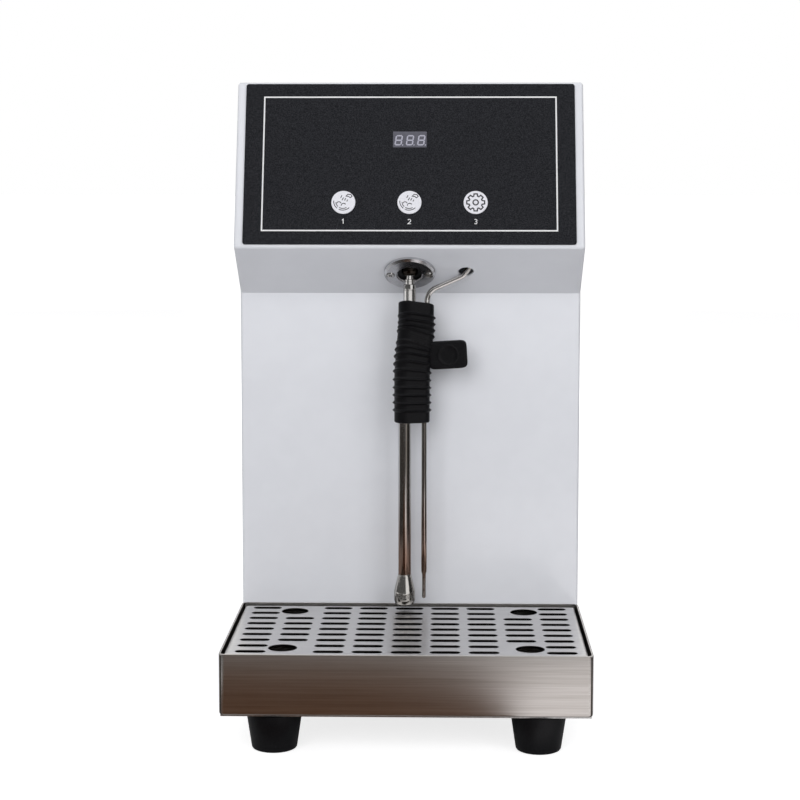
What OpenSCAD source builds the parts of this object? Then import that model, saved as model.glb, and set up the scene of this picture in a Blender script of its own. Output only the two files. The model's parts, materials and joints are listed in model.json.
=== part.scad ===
// Automatic milk steamer for a counter, with a hinged steam wand over a drip tray.
// Millimetres, +X right, +Y away from the user, +Z up, standing on z = 0.

/* [Cabinet] */
// Outside width of the cabinet and of the drip tray
body_w = 240; // [228:1:280]
// Depth of the column from its front face to the rear panel
column_d = 240; // [232:1:290]
// Height from the table to the top cover
body_h = 436; // [428:1:470]
// Height of the control panel, from its lower edge, the nose, to the top cover
panel_h = 113.5; // [109:0.5:117]
// Height of the sloped underside, from the column up to the nose
slope_h = 33.5; // [31:0.5:37]
// How far the nose stands out in front of the column
nose_reach = 43; // [41:1:48]
// How far the top edge of the control panel stands out in front of the column
crest_reach = 4; // [0:0.5:8]
// Thickness of the painted sheet
sheet_t = 1.5; // [1.2:0.1:2]
// Outside radius of the sheet bends at the nose and at the top edge
bend_r = 2.5; // [2:0.1:4]

/* [Feet and base] */
// Height of a rubber foot
foot_h = 25; // [20:1:32]
// Diameter of a foot at the top
foot_top_d = 36.5; // [32:0.5:42]
// Diameter of a foot where it stands on the table
foot_tip_d = 29; // [26:0.5:32]
// Sideways distance between the feet
foot_pitch_x = 172; // [150:1:184]
// Thickness of the base plate
base_t = 2; // [1.5:0.1:3]

/* [Drip tray] */
// Depth of the drip tray
tray_d = 150; // [148:1:180]
// Height of the drip tray
tray_h = 40; // [34:1:46]
// Wall of the drip tray
tray_t = 1.2; // [1:0.1:1.6]
// Sideways pitch of the grid slots
slot_pitch_x = 25.1; // [24:0.1:25.4]
// Front to back pitch of the grid slots
slot_pitch_y = 15.5; // [15:0.1:16]
// Length of a grid slot
slot_l = 19.2; // [16:0.2:20]
// Width of a grid slot
slot_w = 6; // [4:0.2:8]
// Diameter of the finger holes in the grid
finger_d = 18.4; // [16:0.2:20]

/* [Steam wand] */
// Outside diameter of the wand tube
tube_d = 8.8; // [8:0.1:9.6]
// Diameter of the ball that the wand hangs from
ball_d = 12; // [11.6:0.1:12.2]
// Diameter of the flange that holds the ball
flange_d = 35.4; // [34:0.1:38]
// Largest diameter of the steam tip
tip_d = 14.8; // [12:0.2:16]
// Clear height between the steam tip and the rim of the tray
tip_gap = 2.4; // [2:0.1:6]
// Length of the rubber grip
grip_l = 84; // [78:1:90]
// Pitch of the grip ribs below the tab
rib_pitch = 5; // [4.5:0.1:5.2]
// How far a rib stands out
rib_h = 1.4; // [0.8:0.1:1.8]
// Diameter of the temperature probe
probe_d = 3.8; // [3:0.1:4]
// Sideways distance from the ball to the probe hole
probe_hole_x = 39; // [37:0.5:42]
// Diameter of the probe hole
probe_hole_d = 10.8; // [10.4:0.1:12]

/* [Controls] */
// Diameter of a key
key_d = 16.4; // [14:0.2:18]
// Distance between neighbouring keys
key_pitch = 45.3; // [40:0.1:50]
// How far a key moves when it is pressed
key_travel = 0.6; // [0.3:0.1:0.8]
// Distance of the keys up the panel from the nose
key_v = 32; // [28:0.5:36]
// Width of the display window
display_w = 23.3; // [22:0.1:26]
// Height of the display window
display_h = 11.6; // [10.8:0.1:14]
// Thickness of the control overlay
overlay_t = 1.2; // [0.8:0.1:1.6]

/* [Steam generator] */
// Outside diameter of the boiler
boiler_d = 124; // [110:1:128]
// Clear height between the boiler and the shelf of the steam valve
boiler_gap = 76; // [68:1:96]
// Thickness of the insulation round the boiler
jacket_t = 8; // [5:0.5:9]

/* [Hidden] */
$fn = 64;

// The tray stands in front of the column, the fittings reach out behind it.
tray_gap = 2;
rear_reach = 24;
depth_all = tray_d + tray_gap + column_d + rear_reach;
y_front = -depth_all / 2;
yc = y_front + tray_d + tray_gap;
yr = yc + column_d;
z_floor = foot_h + base_t;
slide_gap = 0.05;
tray_z = z_floor + slide_gap;
rim_z = tray_z + tray_h;
side_in = body_w / 2 - sheet_t;

// Sloped underside and leaning control panel.
nose_y = yc - nose_reach;
nose_z = body_h - panel_h;
eave_z = nose_z - slope_h;
slope = atan2(nose_z - eave_z, nose_reach);
slope_len = norm([nose_reach, nose_z - eave_z]);
lean = atan2(nose_reach - crest_reach, body_h - nose_z);
panel_len = norm([nose_reach - crest_reach, body_h - nose_z]);
flange_at = slope_len * 0.52;
flange_t = 3;
ball_in = 2.5;
ball_r = ball_d / 2;
seat_hole_r = 9.8;
flange_bore_r = 8.4;
run_gap = 0.04;
neck_r = 3;

function slope_pt(x, along, inward) = [
    x,
    nose_y + along * cos(slope) + inward * sin(slope),
    nose_z - along * sin(slope) + inward * cos(slope)
];
ball_c = slope_pt(0, flange_at, ball_in);

// Wand and probe, all measured from the ball.
tube_r = tube_d / 2;
tube_bore = tube_r - 1.2;
tip_l = 22.4;
tip_z = rim_z + tip_gap;
tube_top_z = ball_c[2] - 11.2;
tube_end_z = tip_z + tip_l;
grip_top_z = ball_c[2] - 23.6;
grip_end_z = grip_top_z - grip_l;
sway = 3.4;
sway_lean = 18;
sway_r = 40;
sway_top_z = grip_top_z - 24;
probe_r = probe_d / 2;
probe_x = 12.2;
probe_sway = 2;
probe_tip_z = tip_z + 5;
probe_step_z = probe_tip_z + 19;

function unit(v) = v / norm(v);
function clamp1(v) = max(-1, min(1, v));
function turn(a, b, c) = acos(clamp1(unit(b - a) * unit(c - b)));
function trim_len(a, b, c, r) = r * tan(turn(a, b, c) / 2);
function smooth(t) = t <= 0 ? 0 : t >= 1 ? 1 : t * t * (3 - 2 * t);
function isect(p, d, q, e) =
    p + d * ((q[0] - p[0]) * e[1] - (q[1] - p[1]) * e[0]) / (d[0] * e[1] - d[1] * e[0]);
function corner(a, b, c, r, n) =
    let (
        d1 = unit(b - a),
        d2 = unit(c - b),
        half = acos(clamp1(d1 * d2)) / 2,
        side = sign(d1[0] * d2[1] - d1[1] * d2[0]),
        start = b - d1 * r * tan(half),
        mid = start + side * r * [-d1[1], d1[0]]
    )
    [for (i = [0:n]) let (w = side * 2 * half * i / n, v = start - mid)
        mid + [v[0] * cos(w) - v[1] * sin(w), v[0] * sin(w) + v[1] * cos(w)]];

p_foot = [yc, z_floor];
p_eave = [yc, eave_z];
p_nose = [nose_y, nose_z];
p_crest = [yc - crest_reach, body_h];
p_back = [yr, body_h];
outer_profile = concat(
    [p_foot, p_eave],
    corner(p_eave, p_nose, p_crest, bend_r, 6),
    corner(p_nose, p_crest, p_back, bend_r, 6),
    [p_back, [yr, z_floor]]
);
slope_dir = [cos(slope), -sin(slope)];
slope_in = [sin(slope), cos(slope)];
panel_dir = [sin(lean), cos(lean)];
panel_in = [cos(lean), -sin(lean)];
q_eave = isect(p_nose + slope_in * sheet_t, slope_dir, [yc + sheet_t, 0], [0, 1]);
q_nose = isect(p_nose + slope_in * sheet_t, slope_dir, p_nose + panel_in * sheet_t, panel_dir);
q_crest = isect(p_nose + panel_in * sheet_t, panel_dir, [0, body_h + 5], [1, 0]);
inner_profile = [
    [yc + sheet_t, z_floor - 5],
    q_eave,
    q_nose,
    q_crest,
    [yr + 5, body_h + 5],
    [yr + 5, z_floor - 5]
];
lip_end = yc - crest_reach + 18;

// Boiler and fittings.
bx = -25;
by = yc + 140;
boiler_r = boiler_d / 2;
boiler_wall = 3;
boiler_z = z_floor + 43;
shelf_z = nose_z + 3.5;
boiler_h = shelf_z - boiler_gap - boiler_z;
boiler_top = boiler_z + boiler_h;
valve_z = shelf_z + 17;
pipe_r = 4;
right_x = body_w / 2 - 44;
inlet_z = z_floor + 22;
feed_z = boiler_z + 25;
drain_z = boiler_z + 18;
gland_z = z_floor + 75;
switch_z = z_floor + 133;
rocker_lean = 8;

// Helpers
module along_x(w) {
    rotate([90, 0, 90]) linear_extrude(height = w, center = true) children();
}

module on_panel() {
    translate([0, nose_y, nose_z]) rotate([90 - lean, 0, 0]) children();
}

module on_slope() {
    translate([0, nose_y, nose_z]) rotate([-slope, 0, 0]) children();
}

module soft_square(w, h, r) {
    square([w - 2 * r, h], center = true);
    square([w, h - 2 * r], center = true);
    for (sx = [-1, 1])
        for (sy = [-1, 1])
            translate([sx * (w / 2 - r), sy * (h / 2 - r)]) circle(r = r);
}

module slot(l, w) {
    square([l - w, w], center = true);
    for (s = [-1, 1])
        translate([s * (l - w) / 2, 0]) circle(d = w);
}

module rod(a, b, r) {
    d = b - a;
    l = norm(d);
    translate(a) rotate([0, acos(clamp1(d[2] / l)), atan2(d[1], d[0])]) cylinder(h = l, r = r);
}

module elbow(a, b, c, r, bend) {
    d1 = unit(b - a);
    d2 = unit(c - b);
    u = unit(d2 - d1 * (d1 * d2));
    s = b - d1 * trim_len(a, b, c, bend);
    o = s + u * bend;
    n = cross(d1, u);
    multmatrix([
        [-u[0], d1[0], n[0], o[0]],
        [-u[1], d1[1], n[1], o[1]],
        [-u[2], d1[2], n[2], o[2]],
        [0, 0, 0, 1]
    ])
        rotate_extrude(angle = turn(a, b, c)) translate([bend, 0]) circle(r = r);
}

module pipe(pts, r, bend) {
    last = len(pts) - 1;
    for (i = [0:last - 1]) {
        d = unit(pts[i + 1] - pts[i]);
        t0 = i == 0 ? 0 : trim_len(pts[i - 1], pts[i], pts[i + 1], bend);
        t1 = i == last - 1 ? 0 : trim_len(pts[i], pts[i + 1], pts[i + 2], bend);
        rod(pts[i] + d * t0, pts[i + 1] - d * t1, r);
    }
    for (i = [1:1:last - 1])
        elbow(pts[i - 1], pts[i], pts[i + 1], r, bend);
}

// A round bar along a path in the upright plane through the ball, path points as [x, z].
function path_normal(path, i) =
    let (
        n = len(path) - 1,
        d1 = unit(path[max(i, 1)] - path[max(i, 1) - 1]),
        d2 = unit(path[min(i, n - 1) + 1] - path[min(i, n - 1)]),
        m = unit(d1 + d2)
    )
    [-m[1], m[0]] / (m * d1);

module bar(path, r, n) {
    rows = len(path);
    points = [for (i = [0:rows - 1]) let (v = path_normal(path, i)) for (k = [0:n - 1])
        let (w = 360 * k / n)
        [path[i][0] + r * cos(w) * v[0], ball_c[1] + r * sin(w), path[i][1] + r * cos(w) * v[1]]];
    faces = concat(
        [[for (k = [0:n - 1]) n - 1 - k]],
        [[for (k = [0:n - 1]) (rows - 1) * n + k]],
        [for (i = [0:rows - 2]) for (k = [0:n - 1]) let (j = (k + 1) % n)
            [i * n + k, i * n + j, (i + 1) * n + j, (i + 1) * n + k]]
    );
    polyhedron(points = points, faces = faces, convexity = 6);
}

// A pipe with a ball elbow at each turn.
module jointed_pipe(pts, r, bore) {
    last = len(pts) - 1;
    far = longer(pts, 2);
    difference() {
        union() {
            for (i = [0:last - 1])
                rod(pts[i], pts[i + 1], r);
            for (i = [1:1:last - 1])
                translate(pts[i]) sphere(r = r + 0.9);
        }
        for (i = [0:last - 1])
            rod(far[i], far[i + 1], bore);
        for (i = [1:1:last - 1])
            translate(pts[i]) sphere(r = bore + 0.3);
    }
}

function longer(pts, by) = let (n = len(pts) - 1) [
    for (i = [0:n])
        i == 0 ? pts[0] - unit(pts[1] - pts[0]) * by
        : i == n ? pts[n] + unit(pts[n] - pts[n - 1]) * by
        : pts[i]
];

module hollow_pipe(pts, r, bore, bend) {
    difference() {
        pipe(pts, r, bend);
        pipe(longer(pts, 2), bore, bend);
    }
}

module to_rear(x, z, y) {
    translate([x, y, z]) rotate([-90, 0, 0]) children();
}

// Base
module foot_places() {
    for (x = [-1, 1])
        for (y = [y_front + 22, yr - 26])
            translate([x * foot_pitch_x / 2, y, 0]) children();
}

module base_plate() {
    color("silver") {
        difference() {
            translate([-body_w / 2 + 0.5, y_front + 6, foot_h])
                cube([body_w - 1, yr - y_front - 6, base_t]);
            foot_places() translate([0, 0, foot_h - 1]) cylinder(h = base_t + 2, r = 2.55);
        }
        for (s = [-1, 1])
            translate([s * (side_in - 1) - 1, yc + 12, z_floor - 0.5])
                cube([2, column_d - 40, 18.5]);
    }
}

module rubber_feet() {
    color("black") foot_places() difference() {
        cylinder(h = foot_h, d1 = foot_tip_d, d2 = foot_top_d);
        translate([0, 0, -1]) cylinder(h = foot_h - 10 + 1, r = 5.6);
        cylinder(h = foot_h + 1, r = 2.55);
    }
}

module foot_screws() {
    color("silver") foot_places() {
        translate([0, 0, foot_h - 13]) cylinder(h = 3, r = 5);
        translate([0, 0, foot_h - 10.5]) cylinder(h = 12.2, r = 2.5);
    }
}

// Cabinet
module key_places() {
    for (k = [-1, 0, 1])
        translate([k * key_pitch, key_v, 0]) children();
}

display_v = panel_len * 0.647;
key_rim_r = key_d / 2 + 1.2;

module panel_screw_places() {
    for (s = [-1, 1])
        for (z = [z_floor + 40, (z_floor + body_h) / 2, body_h - 62])
            to_rear(s * (side_in - 8), z, yr) children();
    for (x = [-70, 0, 70])
        to_rear(x, body_h - 9, yr) children();
}

module cabinet() {
    color("white") difference() {
        union() {
            difference() {
                along_x(body_w) polygon(outer_profile);
                along_x(2 * side_in) polygon(inner_profile);
            }
            along_x(2 * side_in + 1) polygon([
                [yc - crest_reach + 1.2, body_h - sheet_t],
                [lip_end, body_h - sheet_t],
                [lip_end, body_h],
                [yc - crest_reach + 1.9, body_h]
            ]);
            for (s = [-1, 1]) {
                translate([s * (side_in - 7.5) - 8.5, yr - 2 * sheet_t, z_floor])
                    cube([17, sheet_t, body_h - z_floor - sheet_t - 4]);
                translate([s * (side_in - 5.5) - 6.5, lip_end - 0.5, body_h - 2 * sheet_t])
                    cube([13, yr - lip_end - 20, sheet_t]);
            }
        }
        on_panel() {
            key_places() translate([0, 0, -6]) cylinder(h = 12, r = key_rim_r + 0.8);
            translate([-display_w / 2, display_v - display_h / 2, -6])
                cube([display_w, display_h, 12]);
        }
        on_slope() {
            translate([0, flange_at, -6]) cylinder(h = 12, r = seat_hole_r);
            for (s = [-1, 1])
                translate([s * 13.3, flange_at, -6]) cylinder(h = 12, r = 2);
            translate([probe_hole_x, flange_at, -6]) cylinder(h = 12, d = probe_hole_d);
        }
        panel_screw_places() translate([0, 0, -6]) cylinder(h = 12, r = 1.9);
    }
}

module top_cover() {
    color("white") {
        translate([-side_in + 0.15, lip_end + 0.3, body_h - sheet_t])
            cube([2 * side_in - 0.3, yr - sheet_t - lip_end - 0.3, sheet_t]);
        difference() {
            translate([-side_in + 20, yr - 2 * sheet_t, body_h - 16])
                cube([2 * side_in - 40, sheet_t, 15]);
            panel_screw_places() translate([0, 0, -8]) cylinder(h = 12, r = 1.9);
        }
    }
}

module rear_panel() {
    color("white") difference() {
        translate([-side_in + 0.15, yr - sheet_t, z_floor])
            cube([2 * side_in - 0.3, sheet_t, body_h - z_floor]);
        panel_screw_places() translate([0, 0, -6]) cylinder(h = 12, r = 2.1);
        for (s = [-1, 1])
            for (i = [0:8])
                translate([s * 48, yr, eave_z + 10 + i * 11]) rotate([90, 0, 0])
                    linear_extrude(height = 12, center = true) slot(66, 4);
        for (i = [0:5])
            translate([-48, yr, z_floor + 110 + i * 11]) rotate([90, 0, 0])
                linear_extrude(height = 12, center = true) slot(66, 4);
        to_rear(right_x, inlet_z, yr - 6) cylinder(h = 12, r = 10.6);
        to_rear(bx, drain_z, yr - 6) cylinder(h = 12, r = 6.3);
        to_rear(right_x, gland_z, yr - 6) cylinder(h = 12, r = 8.1);
        translate([right_x, yr, switch_z]) cube([21.8, 12, 28.8], center = true);
    }
}

module panel_screws() {
    color("silver") panel_screw_places() {
        difference() {
            cylinder(h = 2, r = 3.6);
            for (w = [0, 90])
                rotate([0, 0, w]) translate([-2, -0.4, 1]) cube([4, 0.8, 2]);
        }
        translate([0, 0, -9]) cylinder(h = 9.5, r = 1.85);
    }
}

// Controls
module control_overlay() {
    color("dimgray") on_panel() difference() {
        translate([0, panel_len / 2 + 0.3, 0])
            linear_extrude(height = overlay_t) soft_square(body_w - 12, panel_len - 3.8, 1.8);
        key_places() translate([0, 0, -1]) cylinder(h = 6, r = key_d / 2 + 0.15);
        translate([-display_w / 2, display_v - display_h / 2, -1]) cube([display_w, display_h, 6]);
    }
}

module display_lens() {
    color("slategray") on_panel()
        translate([-display_w / 2 + 0.05, display_v - display_h / 2 + 0.05, 0])
            cube([display_w - 0.1, display_h - 0.1, overlay_t]);
}

board_top = -11;

module display_module() {
    color("gray") on_panel() {
        translate([-11.3, display_v - 5.2, -7]) cube([22.6, 10.4, 7]);
        for (i = [-4:4])
            translate([i * 2.4, display_v, board_top]) cylinder(h = 5, r = 0.5);
    }
}

module one_key(k) {
    color("white") on_panel() translate([k * key_pitch, key_v, 0]) {
        translate([0, 0, -1.1]) cylinder(h = overlay_t + 1.5, r = key_d / 2);
        translate([0, 0, -1.4]) cylinder(h = 1.35, r = key_rim_r);
        translate([0, 0, -5.9]) cylinder(h = 5.5, r = 2.5);
    }
}

module key_one() {
    one_key(-1);
}

module key_two() {
    one_key(0);
}

module key_three() {
    one_key(1);
}

module board_places() {
    for (x = [-1, 1])
        for (y = [20, display_v + 14])
            translate([x * 68, y, 0]) children();
}

module control_board() {
    color("green") on_panel() difference() {
        translate([-74, 14, board_top - 1.6]) cube([148, display_v + 6, 1.6]);
        board_places() translate([0, 0, board_top - 3]) cylinder(h = 6, r = 1.6);
    }
}

module key_switches() {
    color("black") on_panel() key_places() {
        translate([-3, -3, board_top]) cube([6, 6, 3.4]);
        translate([0, 0, board_top]) cylinder(h = 4.3, r = 1.7);
    }
}

module board_posts() {
    color("silver") on_panel() board_places() difference() {
        translate([0, 0, board_top]) cylinder(h = -board_top - sheet_t, r = 3);
        translate([0, 0, board_top - 1]) cylinder(h = 7, r = 1.55);
    }
}

module board_screws() {
    color("silver") on_panel() board_places() {
        translate([0, 0, board_top - 3.4]) cylinder(h = 1.8, r = 2.8);
        translate([0, 0, board_top - 2]) cylinder(h = 7, r = 1.5);
    }
}

// Ball joint, wand and probe
module wand_flange() {
    color("gainsboro") on_slope() translate([0, flange_at, 0]) difference() {
        union() {
            translate([0, 0, -1.6]) cylinder(h = 1.6, d = flange_d);
            translate([0, 0, -flange_t]) cylinder(h = 1.5, d1 = flange_d - 3.2, d2 = flange_d);
        }
        translate([0, 0, -flange_t - 1]) cylinder(h = 6, r = flange_bore_r);
        translate([0, 0, -flange_t - 0.1]) cylinder(h = 0.8, r1 = flange_bore_r + 1, r2 = flange_bore_r);
        for (s = [-1, 1])
            translate([s * 13.3, 0, -flange_t - 1]) {
                cylinder(h = 6, r = 2);
                cylinder(h = 2.75, r1 = 3.9, r2 = 2);
            }
    }
}

module flange_screws() {
    color("silver") on_slope() for (s = [-1, 1])
        translate([s * 13.3, flange_at, 0]) difference() {
            union() {
                translate([0, 0, -flange_t + 0.3]) cylinder(h = 1.2, r1 = 2.9, r2 = 2.1);
                translate([0, 0, -flange_t - 0.5]) cylinder(h = 0.85, r1 = 2.3, r2 = 2.9);
                translate([0, 0, -flange_t + 1]) cylinder(h = 9.5, r = 1.85);
            }
            for (w = [45, 135])
                rotate([0, 0, w]) translate([-1.7, -0.35, -flange_t - 1]) cube([3.4, 0.7, 1.3]);
        }
}

module wand_socket() {
    color("darkgoldenrod") on_slope() translate([0, flange_at, 0]) difference() {
        union() {
            translate([0, 0, sheet_t]) cylinder(h = 30 - sheet_t, r = 15);
            translate([0, 0, sheet_t]) cylinder(h = 6, r = 17.6);
        }
        cylinder(h = 12.5, r = 11.5);
        translate([0, 0, 11]) cylinder(h = 20, r = 3);
        translate([0, 0, 24]) cylinder(h = 8, r = pipe_r + 0.02);
        for (s = [-1, 1])
            translate([s * 13.3, 0, 0]) cylinder(h = 9, r = 1.9);
    }
}

module ball_seat() {
    color("black") on_slope() translate([0, flange_at, 0]) difference() {
        union() {
            translate([0, 0, sheet_t]) cylinder(h = 12.5 - sheet_t, r = 11.48);
            translate([0, 0, 0.1]) cylinder(h = 3, r = seat_hole_r - 0.2);
        }
        translate([0, 0, ball_in]) sphere(r = ball_r + run_gap);
        translate([0, 0, ball_in]) cylinder(h = 20, r = neck_r + 0.2);
        translate([0, 0, -1]) cylinder(h = ball_in + 1, r = ball_r - 0.4);
        cylinder(h = 0.7, r1 = ball_r + 0.6, r2 = ball_r - 0.4);
    }
}

module wand_ball() {
    color("silver") translate(ball_c) difference() {
        union() {
            sphere(r = ball_r);
            translate([0, 0, tube_top_z - ball_c[2]]) cylinder(h = 11.2, r = neck_r);
            translate([0, 0, tube_top_z - ball_c[2] - 9]) cylinder(h = 9.5, r = tube_bore - 0.04);
        }
        translate([0, 0, -30]) cylinder(h = 60, r = 1.8);
    }
}

sway_a = [0, sway_top_z];
sway_b = [-sway, sway_top_z - sway_lean];

function wand_path(top, end) = concat(
    [[0, top]],
    corner([0, top], sway_a, sway_b, sway_r, 4),
    corner(sway_a, sway_b, [-sway, end], sway_r, 4),
    [[-sway, end]]
);

module steam_wand() {
    color("silver") difference() {
        bar(wand_path(tube_top_z, tube_end_z), tube_r, 32);
        bar(wand_path(tube_top_z + 2, tube_end_z - 2), tube_bore, 32);
    }
}

module steam_tip() {
    color("silver") translate([-sway, ball_c[1], tip_z]) difference() {
        rotate_extrude() polygon([
            [0, 0],
            [tip_d / 2 - 3.2, 0],
            [tip_d / 2 - 1, 1.4],
            [tip_d / 2, 4],
            [tip_d / 2, tip_l / 2 - 0.8],
            [tip_d / 2 - 0.15, tip_l / 2 - 0.4],
            [tube_r + 0.3, tip_l - 0.6],
            [tube_r + 0.3, tip_l],
            [tube_bore - 0.04, tip_l],
            [tube_bore - 0.04, tip_l + 9],
            [0, tip_l + 9]
        ]);
        translate([0, 0, 3]) cylinder(h = 40, r = 2);
        for (w = [45:90:315])
            rotate([0, 0, w]) translate([0, 0, 4.5]) rotate([0, 150, 0])
                cylinder(h = 12, r = 0.7);
    }
}

// The probe leaves the head through its hole, runs over to the grip and follows the wand down.
probe_a = [probe_hole_x + 4, ball_c[2] + 3];
probe_b = [probe_hole_x - 2, ball_c[2] - 5];
probe_c = [probe_x, ball_c[2] - 16];
probe_s = [probe_x, sway_top_z];
probe_t = [probe_x - probe_sway, sway_top_z - 12];

function probe_path(end) = concat(
    [probe_a],
    corner(probe_a, probe_b, probe_c, 6, 5),
    corner(probe_b, probe_c, probe_s, 10, 10),
    corner(probe_c, probe_s, probe_t, 20, 3),
    corner(probe_s, probe_t, [probe_t[0], end], 20, 3),
    [[probe_t[0], end]]
);

module temperature_probe() {
    color("silver") {
        bar(probe_path(probe_step_z), probe_r, 24);
        translate([probe_t[0], ball_c[1], 0]) rotate_extrude($fn = 24) polygon(concat(
            [for (i = [0:5]) (probe_r - 0.6) * [sin(i * 18), 1 - cos(i * 18)] + [0, probe_tip_z]],
            [
                [probe_r - 0.6, probe_step_z - 2],
                [probe_r - 0.15, probe_step_z + 0.6],
                [0, probe_step_z + 0.6]
            ]
        ));
    }
}

// Rubber grip: an egg shaped section swept down the wand, with ribs that lean where it bends.
egg_big = 7.9;
egg_small = 4.6;
egg_span = 12.3;
egg_cut = acos((egg_big - egg_small) / egg_span);
egg_n1 = 18;
egg_n2 = 10;
low_ribs = floor((grip_l * 0.54) / rib_pitch);
rib_last = grip_l - 8.8;
top_rib = 10;
top_pitch = 3.9;
rib_places = concat(
    [for (i = [0:3]) top_rib + i * top_pitch],
    [for (i = [low_ribs:-1:0]) rib_last - i * rib_pitch]
);

function egg(h) = concat(
    [for (i = [0:egg_n1 - 1]) let (w = egg_cut + (360 - 2 * egg_cut) * i / (egg_n1 - 1))
        [(egg_big + h) * cos(w), (egg_big + h) * sin(w)]],
    [for (i = [0:egg_n2 - 1]) let (w = -egg_cut + 2 * egg_cut * i / (egg_n2 - 1))
        [egg_span + (egg_small + h) * cos(w), (egg_small + h) * sin(w)]]
);
function sway_x(s) = -0.84 * sway * smooth((s - 12) / 42);
function rib_tilt(s) =
    3.5 + 8 * smooth((s - 15) / 9) * (1 - smooth((s - 27) / 9)) - 3.5 * smooth((s - 38) / 18);
function rib_lift(s) = 3.6 * smooth((s + 4) / 12) * (1 - smooth((s - 38) / 24));
grip_rows = concat(
    [[0, -1.2], [1.2, 0]],
    [for (c = rib_places) for (k = [-1, 0, 1]) [c + k * 1.3, k == 0 ? rib_h : 0]],
    [[grip_l - 1.2, 0], [grip_l, -1.2]]
);
egg_n = egg_n1 + egg_n2;
grip_points = [for (row = grip_rows) for (p = egg(row[1]))
    let (w = rib_tilt(row[0]), lift = -p[1] / egg_big * rib_lift(row[0]))
    [
        sway_x(row[0]) + p[0] * cos(w),
        ball_c[1] + p[1],
        grip_top_z - row[0] - (p[0] - 2) * sin(w) + lift
    ]];
grip_faces = concat(
    [[for (i = [0:egg_n - 1]) egg_n - 1 - i]],
    [[for (i = [0:egg_n - 1]) (len(grip_rows) - 1) * egg_n + i]],
    [for (r = [0:len(grip_rows) - 2]) for (i = [0:egg_n - 1]) let (j = (i + 1) % egg_n)
        [r * egg_n + i, r * egg_n + j, (r + 1) * egg_n + j, (r + 1) * egg_n + i]]
);

tab_w = 27;
tab_h = 19.6;
tab_t = 7;

module wand_grip() {
    color("black") difference() {
        union() {
            polyhedron(points = grip_points, faces = grip_faces, convexity = 10);
            translate([26.6, ball_c[1], grip_top_z - 36.2]) rotate([90, -3.4, 0])
                linear_extrude(height = tab_t, center = true) soft_square(tab_w, tab_h, 3.6);
        }
        bar(wand_path(tube_top_z, grip_end_z - 20), tube_r + 0.05, 32);
        bar(probe_path(grip_end_z - 20), probe_r + 0.05, 24);
    }
}

// Drip tray and grid
ledge_h = 14;
grid_t = 1.5;
grid_w = body_w - 6.6;
grid_d = tray_d - 12.2;
grid_top = rim_z - 0.6;
grid_mid = y_front + 4.2 + grid_d / 2;
ledge_z = grid_top - ledge_h;

module drip_tray() {
    color("silver") {
        difference() {
            translate([0, y_front + tray_d / 2, tray_z])
                linear_extrude(height = tray_h) soft_square(body_w, tray_d, 4);
            translate([0, y_front + tray_d / 2, tray_z + tray_t])
                linear_extrude(height = tray_h)
                    soft_square(body_w - 2 * tray_t, tray_d - 2 * tray_t, 4 - tray_t);
        }
        for (s = [-1, 1])
            translate([s * (body_w / 2 - tray_t - 2.5) - 3, y_front + 8, ledge_z - slide_gap - 1.2])
                cube([6, tray_d - 16, 1.2]);
    }
}

module drip_grid() {
    color("silver") translate([0, grid_mid, 0]) {
        translate([0, 0, grid_top - grid_t]) linear_extrude(height = grid_t) difference() {
            soft_square(grid_w, grid_d, 2);
            for (c = [-4:4])
                for (r = [-4:4])
                    if (abs(c) != 3 || abs(r) < 3)
                        translate([c * slot_pitch_x, r * slot_pitch_y]) slot(slot_l, slot_w);
            for (sx = [-1, 1])
                for (sy = [-1, 1])
                    translate([sx * 3.2 * slot_pitch_x, sy * 3.38 * slot_pitch_y])
                        circle(d = finger_d);
        }
        translate([0, 0, ledge_z]) linear_extrude(height = ledge_h - 0.5) difference() {
            soft_square(grid_w, grid_d, 2);
            soft_square(grid_w - 2.4, grid_d - 2.4, 0.8);
        }
    }
}

// Boiler
module at_boiler(x, y, z) {
    translate([bx + x, by + y, z]) children();
}

module boiler() {
    color("silver") at_boiler(0, 0, boiler_z) difference() {
        union() {
            cylinder(h = boiler_h, r = boiler_r);
            translate([-bx, 0, boiler_h - 0.5]) cylinder(h = 12.5, r = 9);
            translate([boiler_r - 6, 0, feed_z - boiler_z]) rotate([0, 90, 0])
                cylinder(h = 6 + jacket_t + 4, r = 8);
        }
        translate([0, 0, boiler_wall]) cylinder(h = boiler_h - 2 * boiler_wall, r = boiler_r - 2);
        translate([0, 0, -1]) cylinder(h = 6, r = 18);
        translate([-bx, 0, boiler_h - 10]) cylinder(h = 30, r = 3);
        translate([-bx, 0, boiler_h + 4]) cylinder(h = 30, r = pipe_r + 0.02);
        translate([boiler_r - 10, 0, feed_z - boiler_z]) rotate([0, 90, 0]) cylinder(h = 40, r = 3);
        translate([boiler_r + 3, 0, feed_z - boiler_z]) rotate([0, 90, 0])
            cylinder(h = 40, r = pipe_r + 0.02);
        translate([0, boiler_r - 10, drain_z - boiler_z]) rotate([-90, 0, 0])
            cylinder(h = 20, r = 6.02);
        translate([0, 32, boiler_h - 10]) cylinder(h = 20, r = 5.02);
        translate([-28, 22, boiler_h - 10]) cylinder(h = 20, r = 5.02);
        translate([-28, -22, boiler_h - 10]) cylinder(h = 20, r = 5.02);
    }
}

module boiler_jacket() {
    color("dimgray") at_boiler(0, 0, boiler_z + 4) difference() {
        cylinder(h = boiler_h - 8, r = boiler_r + jacket_t);
        translate([0, 0, -1]) cylinder(h = boiler_h, r = boiler_r + 0.05);
        translate([0, 0, feed_z - boiler_z - 4]) rotate([0, 90, 0])
            cylinder(h = boiler_r + 20, r = 8.3);
        translate([0, 0, drain_z - boiler_z - 4]) rotate([-90, 0, 0])
            cylinder(h = boiler_r + 20, r = 6.3);
    }
}

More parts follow.
